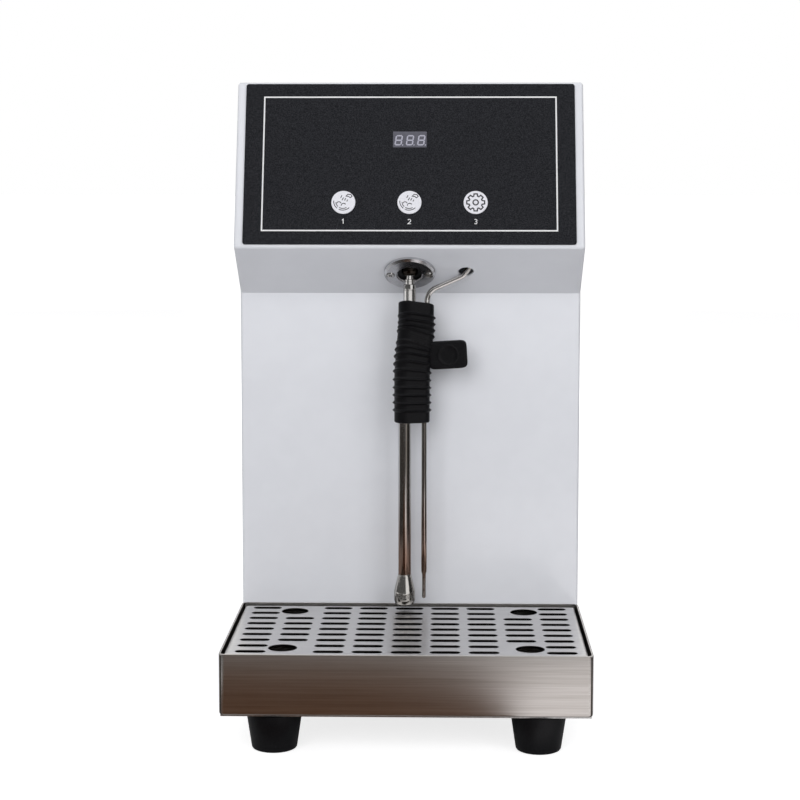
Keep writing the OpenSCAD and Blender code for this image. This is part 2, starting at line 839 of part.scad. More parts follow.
module boiler_stand() {
    color("silver") at_boiler(0, 0, 0) {
        difference() {
            translate([0, 0, boiler_z - 3]) cylinder(h = 3, r = boiler_r + 2);
            translate([0, 0, boiler_z - 4]) cylinder(h = 5, r = boiler_r - 14);
        }
        for (w = [90:120:330])
            rotate([0, 0, w]) translate([boiler_r - 5, 0, z_floor])
                cylinder(h = boiler_z - z_floor - 1, r = 5);
    }
}

module heater() {
    color("silver") {
        at_boiler(0, 0, boiler_z - 6) cylinder(h = 6, r = 26);
        pipe([
            [bx - 10, by, boiler_z - 1],
            [bx - 10, by, boiler_z + 100],
            [bx + 10, by, boiler_z + 100],
            [bx + 10, by, boiler_z - 1]
        ], 4, 9.9);
        for (s = [-1, 1])
            at_boiler(s * 10, 0, boiler_z - 15) cylinder(h = 10, r = 2.5);
    }
}

module level_probe() {
    color("ivory") at_boiler(0, 32, boiler_top) {
        cylinder(h = 7, r = 9, $fn = 6);
        translate([0, 0, -7]) cylinder(h = 8, r = 5);
        cylinder(h = 22, r = 5);
        translate([0, 0, -90]) cylinder(h = 120, r = 2);
    }
}

module safety_valve() {
    color("goldenrod") at_boiler(-28, 22, boiler_top) {
        cylinder(h = 8, r = 9, $fn = 6);
        translate([0, 0, -7]) cylinder(h = 8, r = 5);
        cylinder(h = 30, r = 7.5);
        translate([0, 0, 29]) cylinder(h = 5, r = 5);
        translate([0, 0, 33]) cylinder(h = 3, r = 8);
    }
}

module pressure_switch() {
    color("black") at_boiler(-28, -22, boiler_top) {
        cylinder(h = 8, r = 8, $fn = 6);
        translate([0, 0, -7]) cylinder(h = 8, r = 5);
        translate([0, 0, 7.5]) cylinder(h = 20, r = 13);
        translate([-5, -5, 27]) cube([10, 10, 9]);
    }
}

module thermal_cutout() {
    color("tan") at_boiler(15, -0.58 * boiler_r, boiler_top) {
        cylinder(h = 7, r = 8.5);
        translate([-12, -4, 0]) cube([24, 8, 1.2]);
        for (s = [-1, 1])
            translate([s * 4 - 0.5, -3, 6]) cube([1, 6, 9]);
    }
}

module steam_pipe() {
    color("peru") hollow_pipe([
        [0, by, boiler_top + 4.5],
        [0, by, valve_z],
        [0, yc + 75, valve_z]
    ], pipe_r, 3, 14);
}

module steam_valve() {
    color("goldenrod") difference() {
        union() {
            translate([-16, yc + 46, shelf_z + 2]) cube([32, 36, 28]);
            translate([0, yc + 64, shelf_z + 29]) cylinder(h = 43, r = 6);
        }
        to_rear(0, valve_z, yc + 45) cylinder(h = 9, r = pipe_r + 0.02);
        to_rear(0, valve_z, yc + 74) cylinder(h = 9, r = pipe_r + 0.02);
        to_rear(0, valve_z, yc + 45) cylinder(h = 35, r = 2.5);
    }
}

module valve_coil() {
    color("black") difference() {
        translate([-16, yc + 49, shelf_z + 30]) cube([32, 30, 38]);
        translate([0, yc + 64, shelf_z + 20]) cylinder(h = 60, r = 6.05);
    }
}

module valve_shelf() {
    color("silver") {
        translate([-side_in, yc + 40, shelf_z]) cube([2 * side_in, 46, 2]);
        for (s = [-1, 1])
            translate([s * (side_in - 1) - 1, yc + 40, shelf_z]) cube([2, 46, 22]);
    }
}

feed_turn = (valve_z - nose_z + flange_at * sin(slope)) / cos(slope);

module wand_feed() {
    color("peru") jointed_pipe([
        [0, yc + 53, valve_z],
        slope_pt(0, flange_at, feed_turn),
        slope_pt(0, flange_at, 24.5)
    ], pipe_r, 3);
}

module inlet_valve() {
    color("goldenrod") difference() {
        union() {
            translate([right_x - 15, yr - 66, z_floor]) cube([30, 34, 36]);
            translate([right_x, yr - 49, z_floor + 35]) cylinder(h = 39, r = 5);
        }
        to_rear(right_x, inlet_z, yr - 67) cylinder(h = 9, r = pipe_r + 0.02);
        to_rear(right_x, inlet_z, yr - 40) cylinder(h = 9, r = 7.02);
        to_rear(right_x, inlet_z, yr - 67) cylinder(h = 35, r = 2.5);
    }
}

module inlet_coil() {
    color("black") difference() {
        translate([right_x - 15, yr - 63, z_floor + 36]) cube([30, 28, 34]);
        translate([right_x, yr - 49, z_floor + 30]) cylinder(h = 60, r = 5.05);
    }
}

module feed_pipe() {
    color("peru") hollow_pipe([
        [right_x, yr - 59, inlet_z],
        [right_x, by, inlet_z],
        [right_x, by, feed_z],
        [bx + boiler_r + 3.5, by, feed_z]
    ], pipe_r, 3, 12);
}

module water_inlet() {
    color("goldenrod") difference() {
        union() {
            to_rear(right_x, inlet_z, yr - 39.5) cylinder(h = 32, r = 7);
            to_rear(right_x, inlet_z, yr - sheet_t - 8) cylinder(h = 8, r = 13);
            to_rear(right_x, inlet_z, yr - sheet_t - 1) cylinder(h = rear_reach + sheet_t + 1, r = 10.48);
            to_rear(right_x, inlet_z, yr) cylinder(h = 6, r = 15, $fn = 6);
        }
        to_rear(right_x, inlet_z, yr - 45) cylinder(h = 80, r = 5);
    }
}

module drain_pipe() {
    color("peru") difference() {
        to_rear(bx, drain_z, by + boiler_r - 4) cylinder(h = yr + 10 - by - boiler_r + 4, r = 6);
        to_rear(bx, drain_z, by + boiler_r - 10) cylinder(h = 120, r = 4.5);
    }
}

module drain_cap() {
    color("goldenrod") difference() {
        to_rear(bx, drain_z, yr + 2) cylinder(h = 13, r = 10, $fn = 6);
        to_rear(bx, drain_z, yr + 1) cylinder(h = 9.5, r = 6.02);
    }
}

// Electrics
module power_relay() {
    color("black") {
        translate([side_in - 4, yc + 60, z_floor + 103]) cube([4, 62, 46]);
        translate([side_in - 27, yc + 62, z_floor + 104]) cube([23.5, 58, 44]);
    }
}

module terminal_block() {
    color("ivory") difference() {
        translate([side_in - 20, yc + 60, z_floor + 170]) cube([20, 62, 22]);
        for (i = [0:5])
            translate([side_in - 25, yc + 66 + i * 10, z_floor + 181]) rotate([0, 90, 0])
                cylinder(h = 15, r = 3.2);
    }
}

module cord_gland() {
    color("black") difference() {
        union() {
            to_rear(right_x, gland_z, yr - sheet_t - 6) cylinder(h = 30, r = 8);
            to_rear(right_x, gland_z, yr - sheet_t - 6) cylinder(h = 6, r = 12, $fn = 6);
            to_rear(right_x, gland_z, yr) cylinder(h = 6, r = 12, $fn = 6);
            to_rear(right_x, gland_z, yr + 5) cylinder(h = 15, r1 = 11, r2 = 9);
        }
        to_rear(right_x, gland_z, yr - 20) cylinder(h = 60, r = 4.6);
    }
}

pivot_y = yr - 2;

module switch_frame() {
    color("black") difference() {
        union() {
            translate([right_x - 13, yr, switch_z - 17]) cube([26, 2, 34]);
            translate([right_x - 10.8, yr - 18, switch_z - 14.3]) cube([21.6, 18.5, 28.6]);
        }
        translate([right_x - 7.5, yr - 12, switch_z - 12]) cube([15, 20, 24]);
        translate([right_x - 9.5, pivot_y, switch_z]) rotate([0, 90, 0]) cylinder(h = 19, r = 1.55);
    }
}

module power_rocker() {
    color("red") translate([right_x, pivot_y, switch_z]) rotate([-rocker_lean, 0, 0]) {
        along_x(14.4) polygon([
            [4.6, 10.2],
            [3.2, 0],
            [4.6, -10.2],
            [-1.6, -10.2],
            [-3.4, 0],
            [-1.6, 10.2]
        ]);
        rotate([0, 90, 0]) cylinder(h = 18.6, r = 1.5, center = true);
    }
}

base_plate();
rubber_feet();
foot_screws();
cabinet();
top_cover();
rear_panel();
panel_screws();
control_overlay();
display_lens();
display_module();
key_one();
key_two();
key_three();
control_board();
key_switches();
board_posts();
board_screws();
wand_flange();
flange_screws();
wand_socket();
ball_seat();
wand_ball();
steam_wand();
steam_tip();
wand_grip();
temperature_probe();
drip_tray();
drip_grid();
boiler();
boiler_jacket();
boiler_stand();
heater();
level_probe();
safety_valve();
pressure_switch();
thermal_cutout();
steam_pipe();
steam_valve();
valve_coil();
valve_shelf();
wand_feed();
inlet_valve();
inlet_coil();
feed_pipe();
water_inlet();
drain_pipe();
drain_cap();
power_relay();
terminal_block();
cord_gland();
switch_frame();
power_rocker();
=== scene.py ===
"""Looks of a counter-top milk steamer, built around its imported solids.

Blender works in metres and the shape formulas in millimetres: +X right, +Y away from the user,
+Z up, standing on z = 0. A new piece is a grid of points from one formula, or a merged copy of a
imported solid. Its object sits at the origin.
"""
import json
import math

import bmesh
import bpy
import numpy as np
from mathutils import Matrix, Vector


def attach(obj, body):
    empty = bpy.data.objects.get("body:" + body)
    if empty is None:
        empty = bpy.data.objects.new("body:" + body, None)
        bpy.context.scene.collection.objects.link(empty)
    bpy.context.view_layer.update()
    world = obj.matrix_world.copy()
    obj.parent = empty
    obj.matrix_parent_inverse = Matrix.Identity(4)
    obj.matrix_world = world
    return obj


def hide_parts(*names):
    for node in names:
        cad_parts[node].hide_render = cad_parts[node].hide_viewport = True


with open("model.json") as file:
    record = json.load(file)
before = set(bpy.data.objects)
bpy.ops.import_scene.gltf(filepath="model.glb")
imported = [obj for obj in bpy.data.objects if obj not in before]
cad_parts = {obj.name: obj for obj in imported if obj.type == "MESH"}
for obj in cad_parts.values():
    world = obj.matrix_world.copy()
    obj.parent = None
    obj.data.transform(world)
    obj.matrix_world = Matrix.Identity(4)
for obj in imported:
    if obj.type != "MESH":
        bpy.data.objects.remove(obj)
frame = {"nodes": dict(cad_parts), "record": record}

MM = 0.001
WELD, SLIVER = 1e-6, 1e-7
NODES = frame["nodes"]
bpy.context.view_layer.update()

# Main sizes in mm, the same as in the part's source.
BODY_W = 240.0
NOSE_Y, NOSE_Z = -99.0, 322.5
UNDER_RUN, UNDER_RISE = 43.0, 33.5
PANEL_RUN, PANEL_RISE = 39.0, 113.5
SLOPE = math.atan2(UNDER_RISE, UNDER_RUN)
LEAN = math.atan2(PANEL_RUN, PANEL_RISE)
FLANGE_AT = 0.52 * math.hypot(UNDER_RUN, UNDER_RISE)
BALL_IN, BALL_R = 2.5, 6.0
BALL_Y = NOSE_Y + FLANGE_AT * math.cos(SLOPE) + BALL_IN * math.sin(SLOPE)
BALL_Z = NOSE_Z - FLANGE_AT * math.sin(SLOPE) + BALL_IN * math.cos(SLOPE)
TUBE_R, PROBE_R = 4.4, 1.9
TIP_Z, TIP_L = 69.45, 22.4
TUBE_TOP_Z, TUBE_END_Z = BALL_Z - 10.7, TIP_Z + TIP_L
SWAY = 3.4
GRIP_TOP_Z = BALL_Z - 23.6
GRIP_L = 84.0
SWAY_TOP_Z = GRIP_TOP_Z - 24.0
PROBE_X, PROBE_SWAY = 12.2, 2.0
PROBE_TIP_Z = TIP_Z + 5.0
PROBE_STEP_Z = PROBE_TIP_Z + 19.0
KEY_PITCH, KEY_V, KEY_FACE = 45.3, 32.0, 1.6
DISPLAY_V, OVERLAY_T = 77.65, 1.2
GRID_W, GRID_D, GRID_TOP, GRID_LOW, GRID_Y = 233.4, 137.8, 66.45, 52.45, -134.9
SHEET_T, FOLD_R = 1.5, 2.0
TRAY_Z, RIM_Z, TRAY_MID_Y = 27.05, 67.05, -133.0
FOOT_X, FOOT_Y = (-86.0, 86.0), (-186.0, 158.0)


# Shape helpers
def smooth(t):
    """Smooth step: 0 below 0, 1 above 1, 3t^2 - 2t^3 between."""
    t = np.clip(t, 0.0, 1.0)
    return t * t * (3.0 - 2.0 * t)


def on_panel(flat):
    """Points (x, up the panel, out of it) of the leaning control panel in the part's frame."""
    x, up, out = np.moveaxis(np.asarray(flat, float), -1, 0)
    y = NOSE_Y + up * math.sin(LEAN) - out * math.cos(LEAN)
    z = NOSE_Z + up * math.cos(LEAN) + out * math.sin(LEAN)
    return np.stack([x, y, z], -1)


def stitch(rows, cols, wrap):
    """Quads between neighbouring rows of points; wrap joins the last column to the first."""
    i = np.arange(rows - 1)[:, None] * cols
    j = np.arange(cols if wrap else cols - 1)[None, :]
    k = (j + 1) % cols
    return np.stack([i + j, i + k, i + k + cols, i + j + cols], -1).reshape(-1, 4)


def gathered(parts):
    """One array of points and one of quads from several (points, quads) pairs."""
    points = [np.asarray(some, float).reshape(-1, 3) for some, quads in parts]
    starts = np.cumsum([0] + [len(some) for some in points])
    quads = [quads + start for (some, quads), start in zip(parts, starts)]
    return np.concatenate(points), np.concatenate(quads)


def lathe(profile, centre, sides=72):
    """A profile of (radius, height) carried round the upright axis through centre."""
    r, z = np.asarray(profile, float).T
    a = np.linspace(0, 2 * math.pi, sides, endpoint=False)
    x = centre[0] + r[:, None] * np.cos(a)
    y = centre[1] + r[:, None] * np.sin(a)
    return np.stack([x, y, np.repeat(z[:, None], sides, 1)], -1), stitch(len(r), sides, True)


def filleted(corners, radii, steps):
    """A path [x, z] whose inner corners are arcs of the given radii."""
    corners = np.asarray(corners, float)
    path = [corners[:1]]
    for a, b, c, r in zip(corners[:-2], corners[1:-1], corners[2:], radii):
        d1, d2 = (b - a) / np.linalg.norm(b - a), (c - b) / np.linalg.norm(c - b)
        side = np.sign(d1[0] * d2[1] - d1[1] * d2[0])
        half = math.acos(np.clip(d1 @ d2, -1, 1)) / 2
        start = b - d1 * r * math.tan(half)
        centre = start + side * r * np.array([-d1[1], d1[0]])
        w = side * 2 * half * np.linspace(0, 1, steps + 1)
        v = start - centre
        path.append(centre + np.stack(
            [v[0] * np.cos(w) - v[1] * np.sin(w), v[0] * np.sin(w) + v[1] * np.cos(w)], -1))
    return np.concatenate(path + [corners[-1:]])


def swept(path, radius, sides):
    """Circles carried along a path [x, z] in the upright plane of the ball, closed at both ends."""
    run = np.gradient(path, axis=0)
    run /= np.linalg.norm(run, axis=1, keepdims=True)
    keep = [0, *range(len(path)), len(path) - 1]
    path, run, r = path[keep], run[keep], radius[keep]
    r[[0, -1]] = 0.0
    a = np.linspace(0, 2 * math.pi, sides, endpoint=False)
    across = r[:, None] * np.cos(a)
    x = path[:, :1] - across * run[:, 1:]
    z = path[:, 1:] + across * run[:, :1]
    return np.stack([x, BALL_Y + r[:, None] * np.sin(a), z], -1), stitch(len(path), sides, True)


def ribbon(path, width, low, high, closed=False):
    """A strip along a path on the panel: a rectangle from low to high, carried along the path with
    mitred corners."""
    path = np.asarray(path, float)
    if closed:
        ahead, behind = np.roll(path, -1, 0) - path, path - np.roll(path, 1, 0)
    else:
        step = np.diff(path, axis=0)
        ahead, behind = np.concatenate([step, step[-1:]]), np.concatenate([step[:1], step])
    n1, n2 = (np.stack([-d[:, 1], d[:, 0]], -1) / np.linalg.norm(d, axis=1, keepdims=True)
              for d in (behind, ahead))
    off = (n1 + n2) / (1 + (n1 * n2).sum(1, keepdims=True)) * width / 2
    left, right = path - off, path + off
    tall = np.ones((len(path), 1))
    ring = np.stack([np.hstack([left, low * tall]), np.hstack([left, high * tall]),
                     np.hstack([right, high * tall]), np.hstack([right, low * tall])], 1)
    if closed:
        ring = np.concatenate([ring, ring[:1]])
    rows = len(ring)
    faces = stitch(rows, 4, True)
    if not closed:
        ends = np.array([[3, 2, 1, 0], [4 * rows - 4, 4 * rows - 3, 4 * rows - 2, 4 * rows - 1]])
        faces = np.concatenate([faces, ends])
    return on_panel(ring), faces


def slabs(outlines, low, high):
    """Flat slabs on the panel: outlines of shape (count, corners, 2) drawn up from low to high."""
    outlines = np.asarray(outlines, float)
    count, corners = outlines.shape[:2]
    flat = np.stack([np.concatenate([outlines, np.full((count, corners, 1), h)], -1)
                     for h in (low, high)], 1)
    base = np.arange(count)[:, None] * 2 * corners
    j = np.arange(corners)
    k = (j + 1) % corners
    sides = np.stack([base + j, base + k, base + k + corners, base + j + corners], -1)
    lids = np.concatenate([base + corners + j, base + j[::-1]])
    return on_panel(flat), sides.reshape(-1, 4).tolist() + lids.tolist()


def arc(centre, r, start, end, steps):
    """Points of a circular arc, angles in degrees."""
    w = np.radians(np.linspace(start, end, steps))
    return np.stack([centre[0] + r * np.cos(w), centre[1] + r * np.sin(w)], -1)


def soft_outline(w, h, r, steps):
    """Corner points of a rectangle with rounded corners, round its middle."""
    quarter = np.radians(np.linspace(0, 90, steps))
    turns = np.concatenate([quarter + k * math.pi / 2 for k in range(4)])
    sx = np.repeat([1, -1, -1, 1], steps)
    sy = np.repeat([1, 1, -1, -1], steps)
    return np.stack([sx * (w / 2 - r) + r * np.cos(turns),
                     sy * (h / 2 - r) + r * np.sin(turns)], -1)


# Blender helpers
def put_in(name, data):
    """A new object of the scene."""
    made = bpy.data.objects.new(name, data)
    bpy.context.scene.collection.objects.link(made)
    return made


def turned_to(axes, at):
    """The placing matrix of an object with these three axes at a point."""
    return Matrix([[*(axis[i] for axis in axes), at[i]] for i in range(3)] + [[0, 0, 0, 1]])


def piece(name, shape, finish, body, stands_for=(), crease=35.0):
    """A mesh object from (points in mm, faces): merged, facing outwards, riding on a body."""
    points, faces = shape
    points = np.asarray(points, float).reshape(-1, 3)
    mesh = bpy.data.meshes.new(name)
    mesh.from_pydata((points * MM).tolist(), [],
                     faces.tolist() if isinstance(faces, np.ndarray) else faces)
    tidy = bmesh.new()
    tidy.from_mesh(mesh)
    bmesh.ops.remove_doubles(tidy, verts=tidy.verts, dist=WELD)
    bmesh.ops.dissolve_degenerate(tidy, edges=tidy.edges, dist=SLIVER)
    bmesh.ops.recalc_face_normals(tidy, faces=tidy.faces)
    tidy.to_mesh(mesh)
    tidy.free()
    mesh.shade_smooth()
    mesh.set_sharp_from_angle(angle=math.radians(crease))
    made = put_in(name, mesh)
    mesh.materials.append(FINISHES[finish])
    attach(made, body)
    if stands_for:
        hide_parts(*stands_for)


# Shared surface effects
def effect(name, inputs, outputs):
    """An empty shader node group with its sockets and its two end nodes."""
    group = bpy.data.node_groups.new(name, "ShaderNodeTree")
    for label, kind, value in inputs:
        made = group.interface.new_socket(label, in_out="INPUT", socket_type=kind)
        made.default_value = value
    for label in outputs:
        group.interface.new_socket(label, in_out="OUTPUT", socket_type="NodeSocketFloat")
    return group, group.nodes.new("NodeGroupInput"), group.nodes.new("NodeGroupOutput")


def noise(group, vector, scale, detail, rough=0.5):
    """A noise texture in a node tree; scale is a number or a socket."""
    made = group.nodes.new("ShaderNodeTexNoise")
    made.inputs["Detail"].default_value = detail
    made.inputs["Roughness"].default_value = rough
    group.links.new(vector, made.inputs["Vector"])
    if isinstance(scale, (int, float)):
        made.inputs["Scale"].default_value = scale
    else:
        group.links.new(scale, made.inputs["Scale"])
    return made.outputs["Fac"]


def ranged(tree, value, low, high, to_low=0.0, to_high=1.0):
    """A value mapped from low..high to to_low..to_high, clamped."""
    made = tree.nodes.new("ShaderNodeMapRange")
    for label, number in (("From Min", low), ("From Max", high),
                          ("To Min", to_low), ("To Max", to_high)):
        made.inputs[label].default_value = number
    tree.links.new(value, made.inputs["Value"])
    return made.outputs["Result"]


def math_node(tree, operation, a, b):
    """One arithmetic node; a and b are sockets or numbers."""
    made = tree.nodes.new("ShaderNodeMath")
    made.operation = operation
    for socket, value in zip(made.inputs, (a, b)):
        if isinstance(value, (int, float)):
            socket.default_value = value
        else:
            tree.links.new(value, socket)
    return made.outputs["Value"]


def make_speckle():
    """Fine grain: one noise for the tint, and a second, finer one added for the height."""
    group, start, end = effect(
        "speckle", [("Vector", "NodeSocketVector", (0, 0, 0)), ("Size", "NodeSocketFloat", 900.0)],
        ["Mask", "Height"])
    grain = noise(group, start.outputs["Vector"], start.outputs["Size"], 2.0)
    finer = noise(group, start.outputs["Vector"],
                  math_node(group, "MULTIPLY", start.outputs["Size"], 2.6), 1.0)
    group.links.new(ranged(group, grain, 0.38, 0.66), end.inputs["Mask"])
    group.links.new(math_node(group, "ADD", math_node(group, "MULTIPLY", finer, 0.5), grain),
                    end.inputs["Height"])
    return group


def make_brushing():
    """Brushed lines: noise on a vector that is stretched along the brushing, at two finenesses."""
    group, start, end = effect(
        "brushing", [("Vector", "NodeSocketVector", (0, 0, 0)),
                     ("Grain", "NodeSocketVector", (10.0, 2400.0, 2400.0))], ["Mask", "Height"])
    fine = group.nodes.new("ShaderNodeVectorMath")
    fine.operation = "MULTIPLY"
    group.links.new(start.outputs["Vector"], fine.inputs[0])
    group.links.new(start.outputs["Grain"], fine.inputs[1])
    coarse = group.nodes.new("ShaderNodeVectorMath")
    coarse.operation = "SCALE"
    coarse.inputs["Scale"].default_value = 0.22
    group.links.new(fine.outputs["Vector"], coarse.inputs[0])
    lines = noise(group, fine.outputs["Vector"], 1.0, 3.0, 0.6)
    bands = noise(group, coarse.outputs["Vector"], 1.0, 2.0, 0.5)
    mixed = math_node(group, "ADD", math_node(group, "MULTIPLY", lines, 0.6),
                      math_node(group, "MULTIPLY", bands, 0.4))
    group.links.new(ranged(group, mixed, 0.34, 0.66), end.inputs["Mask"])
    group.links.new(lines, end.inputs["Height"])
    return group


def make_handling():
    """Soft smudges and a few fine rub marks from use."""
    group, start, end = effect(
        "handling", [("Vector", "NodeSocketVector", (0, 0, 0)), ("Size", "NodeSocketFloat", 14.0)],
        ["Mask"])
    soft = noise(group, start.outputs["Vector"], start.outputs["Size"], 3.0, 0.55)
    rubs = noise(group, start.outputs["Vector"],
                 math_node(group, "MULTIPLY", start.outputs["Size"], 9.0), 2.0)
    mixed = math_node(group, "ADD", math_node(group, "MULTIPLY", soft, 0.75),
                      math_node(group, "MULTIPLY", rubs, 0.25))
    group.links.new(ranged(group, mixed, 0.2, 0.8), end.inputs["Mask"])
    return group


def make_lower_tube_shade():
    """Painted shade on a tube: a darker tint standing in for its dark reflection, growing from High
    down to Low in height, and fading again near End.
    """
    group, start, end = effect(
        "lower_tube_shade", [("Vector", "NodeSocketVector", (0, 0, 0)), ("High", "NodeSocketFloat", 0.26),
                  ("Low", "NodeSocketFloat", 0.21), ("End", "NodeSocketFloat", 0.068)], ["Mask"])
    split = group.nodes.new("ShaderNodeSeparateXYZ")
    group.links.new(start.outputs["Vector"], split.inputs["Vector"])
    wander = noise(group, start.outputs["Vector"], 45.0, 2.0)
    shift = math_node(group, "MULTIPLY", math_node(group, "SUBTRACT", wander, 0.5), 0.03)
    height = math_node(group, "ADD", split.outputs["Z"], shift)
    top = group.nodes.new("ShaderNodeMapRange")
    top.interpolation_type = "SMOOTHSTEP"
    group.links.new(height, top.inputs["Value"])
    group.links.new(start.outputs["High"], top.inputs["From Min"])
    group.links.new(start.outputs["Low"], top.inputs["From Max"])
    foot = group.nodes.new("ShaderNodeMapRange")
    group.links.new(height, foot.inputs["Value"])
    group.links.new(start.outputs["End"], foot.inputs["From Min"])
    group.links.new(math_node(group, "ADD", start.outputs["End"], 0.02), foot.inputs["From Max"])
    group.links.new(math_node(group, "MULTIPLY", top.outputs["Result"], foot.outputs["Result"]),
                    end.inputs["Mask"])
    return group


def make_inside():
    """1 inside a box given by its middle and half size, 0 outside, with a narrow fade."""
    group, start, end = effect(
        "inside", [("Vector", "NodeSocketVector", (0, 0, 0)),
                   ("Middle", "NodeSocketVector", (0, 0, 0)),
                   ("Half", "NodeSocketVector", (1, 1, 1))], ["Mask"])
    vector = start.outputs["Vector"]
    for operation, other in (("SUBTRACT", "Middle"), ("ABSOLUTE", None), ("DIVIDE", "Half")):
        made = group.nodes.new("ShaderNodeVectorMath")
        made.operation = operation
        group.links.new(vector, made.inputs[0])
        if other:
            group.links.new(start.outputs[other], made.inputs[1])
        vector = made.outputs["Vector"]
    split = group.nodes.new("ShaderNodeSeparateXYZ")
    group.links.new(vector, split.inputs["Vector"])
    wide = math_node(group, "MAXIMUM", split.outputs["X"], split.outputs["Y"])
    most = math_node(group, "MAXIMUM", wide, split.outputs["Z"])
    group.links.new(ranged(group, most, 0.998, 1.0, 1.0, 0.0), end.inputs["Mask"])
    return group


SPECKLE, BRUSHING, HANDLING = make_speckle(), make_brushing(), make_handling()
LOWER_TUBE_SHADE, INSIDE = make_lower_tube_shade(), make_inside()
SMUDGE_SIZE = 14.0
FINISHES = {}


def laid_over(tree, under, factor, colour):
    """A colour mixed over another by a factor; the one under it is a socket or a plain colour."""
    made = tree.nodes.new("ShaderNodeMix")
    made.data_type = "RGBA"
    made.inputs["B"].default_value = (*colour, 1.0)
    tree.links.new(factor, made.inputs["Factor"])
    if isinstance(under, tuple):
        made.inputs["A"].default_value = (*under, 1.0)
    else:
        tree.links.new(under, made.inputs["A"])
    return made.outputs["Result"]


def effect_in(tree, group, place, settings):
    """The outputs of an effect put into a material, with the material's own settings."""
    made = tree.nodes.new("ShaderNodeGroup")
    made.node_tree = group
    for label, value in settings.items():
        made.inputs[label].default_value = value
    tree.links.new(place, made.inputs["Vector"])
    return made.outputs


def finish(name, dark, light, rough, metallic=0.0, size=900.0, grain=None, bump=0.1, depth=0.00005,
           sockets=(), shades=()):
    """A material: two tints mixed by grain or brushing, smudged roughness, and a fine bump. Each
    shade is painted shade, (mask group, its settings, tint), laid over the two tints."""
    made = bpy.data.materials.new(name + "_finish")
    made.use_nodes = True
    tree = made.node_tree
    shader = tree.nodes["Principled BSDF"]
    shader.inputs["Metallic"].default_value = metallic
    for label, value in dict(sockets).items():
        shader.inputs[label].default_value = value
    place = tree.nodes.new("ShaderNodeTexCoord").outputs["Object"]
    if grain:
        pattern = effect_in(tree, BRUSHING, place, {"Grain": grain})
    else:
        pattern = effect_in(tree, SPECKLE, place, {"Size": size})
    colour = laid_over(tree, dark, pattern["Mask"], light)
    for group, settings, tint in shades:
        colour = laid_over(tree, colour, effect_in(tree, group, place, settings)["Mask"], tint)
    tree.links.new(colour, shader.inputs["Base Color"])
    marks = effect_in(tree, HANDLING, place, {"Size": SMUDGE_SIZE})
    tree.links.new(ranged(tree, marks["Mask"], 0.0, 1.0, *rough), shader.inputs["Roughness"])
    relief = tree.nodes.new("ShaderNodeBump")
    relief.inputs["Strength"].default_value = bump
    relief.inputs["Distance"].default_value = depth
    tree.links.new(pattern["Height"], relief.inputs["Height"])
    tree.links.new(relief.outputs["Normal"], shader.inputs["Normal"])
    FINISHES[name] = made


GLOSS = {"Coat Weight": 0.35, "Coat Roughness": 0.05}
MATT = {"Specular IOR Level": 0.09}
DARK_EDGE = {"Specular Tint": (0.40, 0.39, 0.38, 1.0)}
# Boxes in metres round painted shade: inside of the pan, ball in its cup, underside of the grid.
PAN_SHADE_BOX = {"Middle": (0.0, -0.1337, 0.0468), "Half": (0.1194, 0.0737, 0.0194)}
BALL_SHADE_BOX = {"Middle": (0.0, BALL_Y * MM, BALL_Z * MM), "Half": (1.0, 1.0, 0.00455)}
WITHIN_FOLD = FOLD_R + 0.05
GRID_SHADE_BOX = {"Middle": (0.0, GRID_Y * MM, 0.0),
              "Half": ((GRID_W / 2 - WITHIN_FOLD) * MM, (GRID_D / 2 - WITHIN_FOLD) * MM,
                       GRID_TOP * MM)}
POLISHED = {"dark": (0.62, 0.605, 0.59), "light": (0.74, 0.725, 0.71), "rough": (0.08, 0.14),
            "metallic": 1.0, "grain": (2600.0, 2600.0, 60.0), "bump": 0.05, "depth": 0.00003,
            "sockets": DARK_EDGE}
BRUSHED = {"dark": (0.46, 0.435, 0.41), "light": (0.64, 0.62, 0.60), "metallic": 1.0}
finish("white_paint", (0.800, 0.814, 0.862), (0.815, 0.829, 0.877), (0.16, 0.22), size=60.0,
       bump=0.02, sockets=GLOSS)
finish("charcoal_overlay", (0.008, 0.0085, 0.0105), (0.030, 0.031, 0.036), (0.46, 0.58),
       size=1500.0, bump=0.3, depth=0.00006, sockets=MATT)
finish("smoke_lens", (0.085, 0.085, 0.110), (0.100, 0.100, 0.128), (0.14, 0.24), size=260.0,
       bump=0.02)
finish("display_grey", (0.38, 0.38, 0.46), (0.45, 0.45, 0.53), (0.30, 0.42), bump=0.05)
finish("key_white", (0.78, 0.78, 0.835), (0.845, 0.845, 0.895), (0.28, 0.40), size=1300.0,
       bump=0.12)
finish("board_green", (0.012, 0.065, 0.022), (0.022, 0.100, 0.036), (0.35, 0.5), size=300.0)
finish("chrome", (0.62, 0.62, 0.64), (0.72, 0.72, 0.74), (0.16, 0.24), 1.0, size=260.0, bump=0.01,
       sockets=DARK_EDGE)
finish("polished_steel", **POLISHED)
# The lower tube and probe get painted shade: a darker brown tint in place of their dark reflection.
finish("wand_steel", **POLISHED,
       shades=[(LOWER_TUBE_SHADE, {"High": 0.165, "Low": 0.100}, (0.24, 0.16, 0.125))])
finish("tip_steel", (0.56, 0.54, 0.51), (0.68, 0.66, 0.63), (0.13, 0.18), 1.0,
       grain=(60.0, 60.0, 2600.0), bump=0.04, depth=0.00003, sockets=DARK_EDGE)
# Ball: painted shade where it sits in its cup.
finish("ball_steel", **POLISHED, shades=[(INSIDE, BALL_SHADE_BOX, (0.030, 0.025, 0.021))])
finish("brushed_steel", **BRUSHED, rough=(0.28, 0.38), grain=(9.0, 2600.0, 2600.0), bump=0.12)
# Pan: painted shade inside, under the grid.
finish("pan_steel", **BRUSHED, rough=(0.28, 0.34), grain=(16.0, 1400.0, 1400.0), bump=0.06,
       depth=0.00004, shades=[(INSIDE, PAN_SHADE_BOX, (0.062, 0.048, 0.040))])
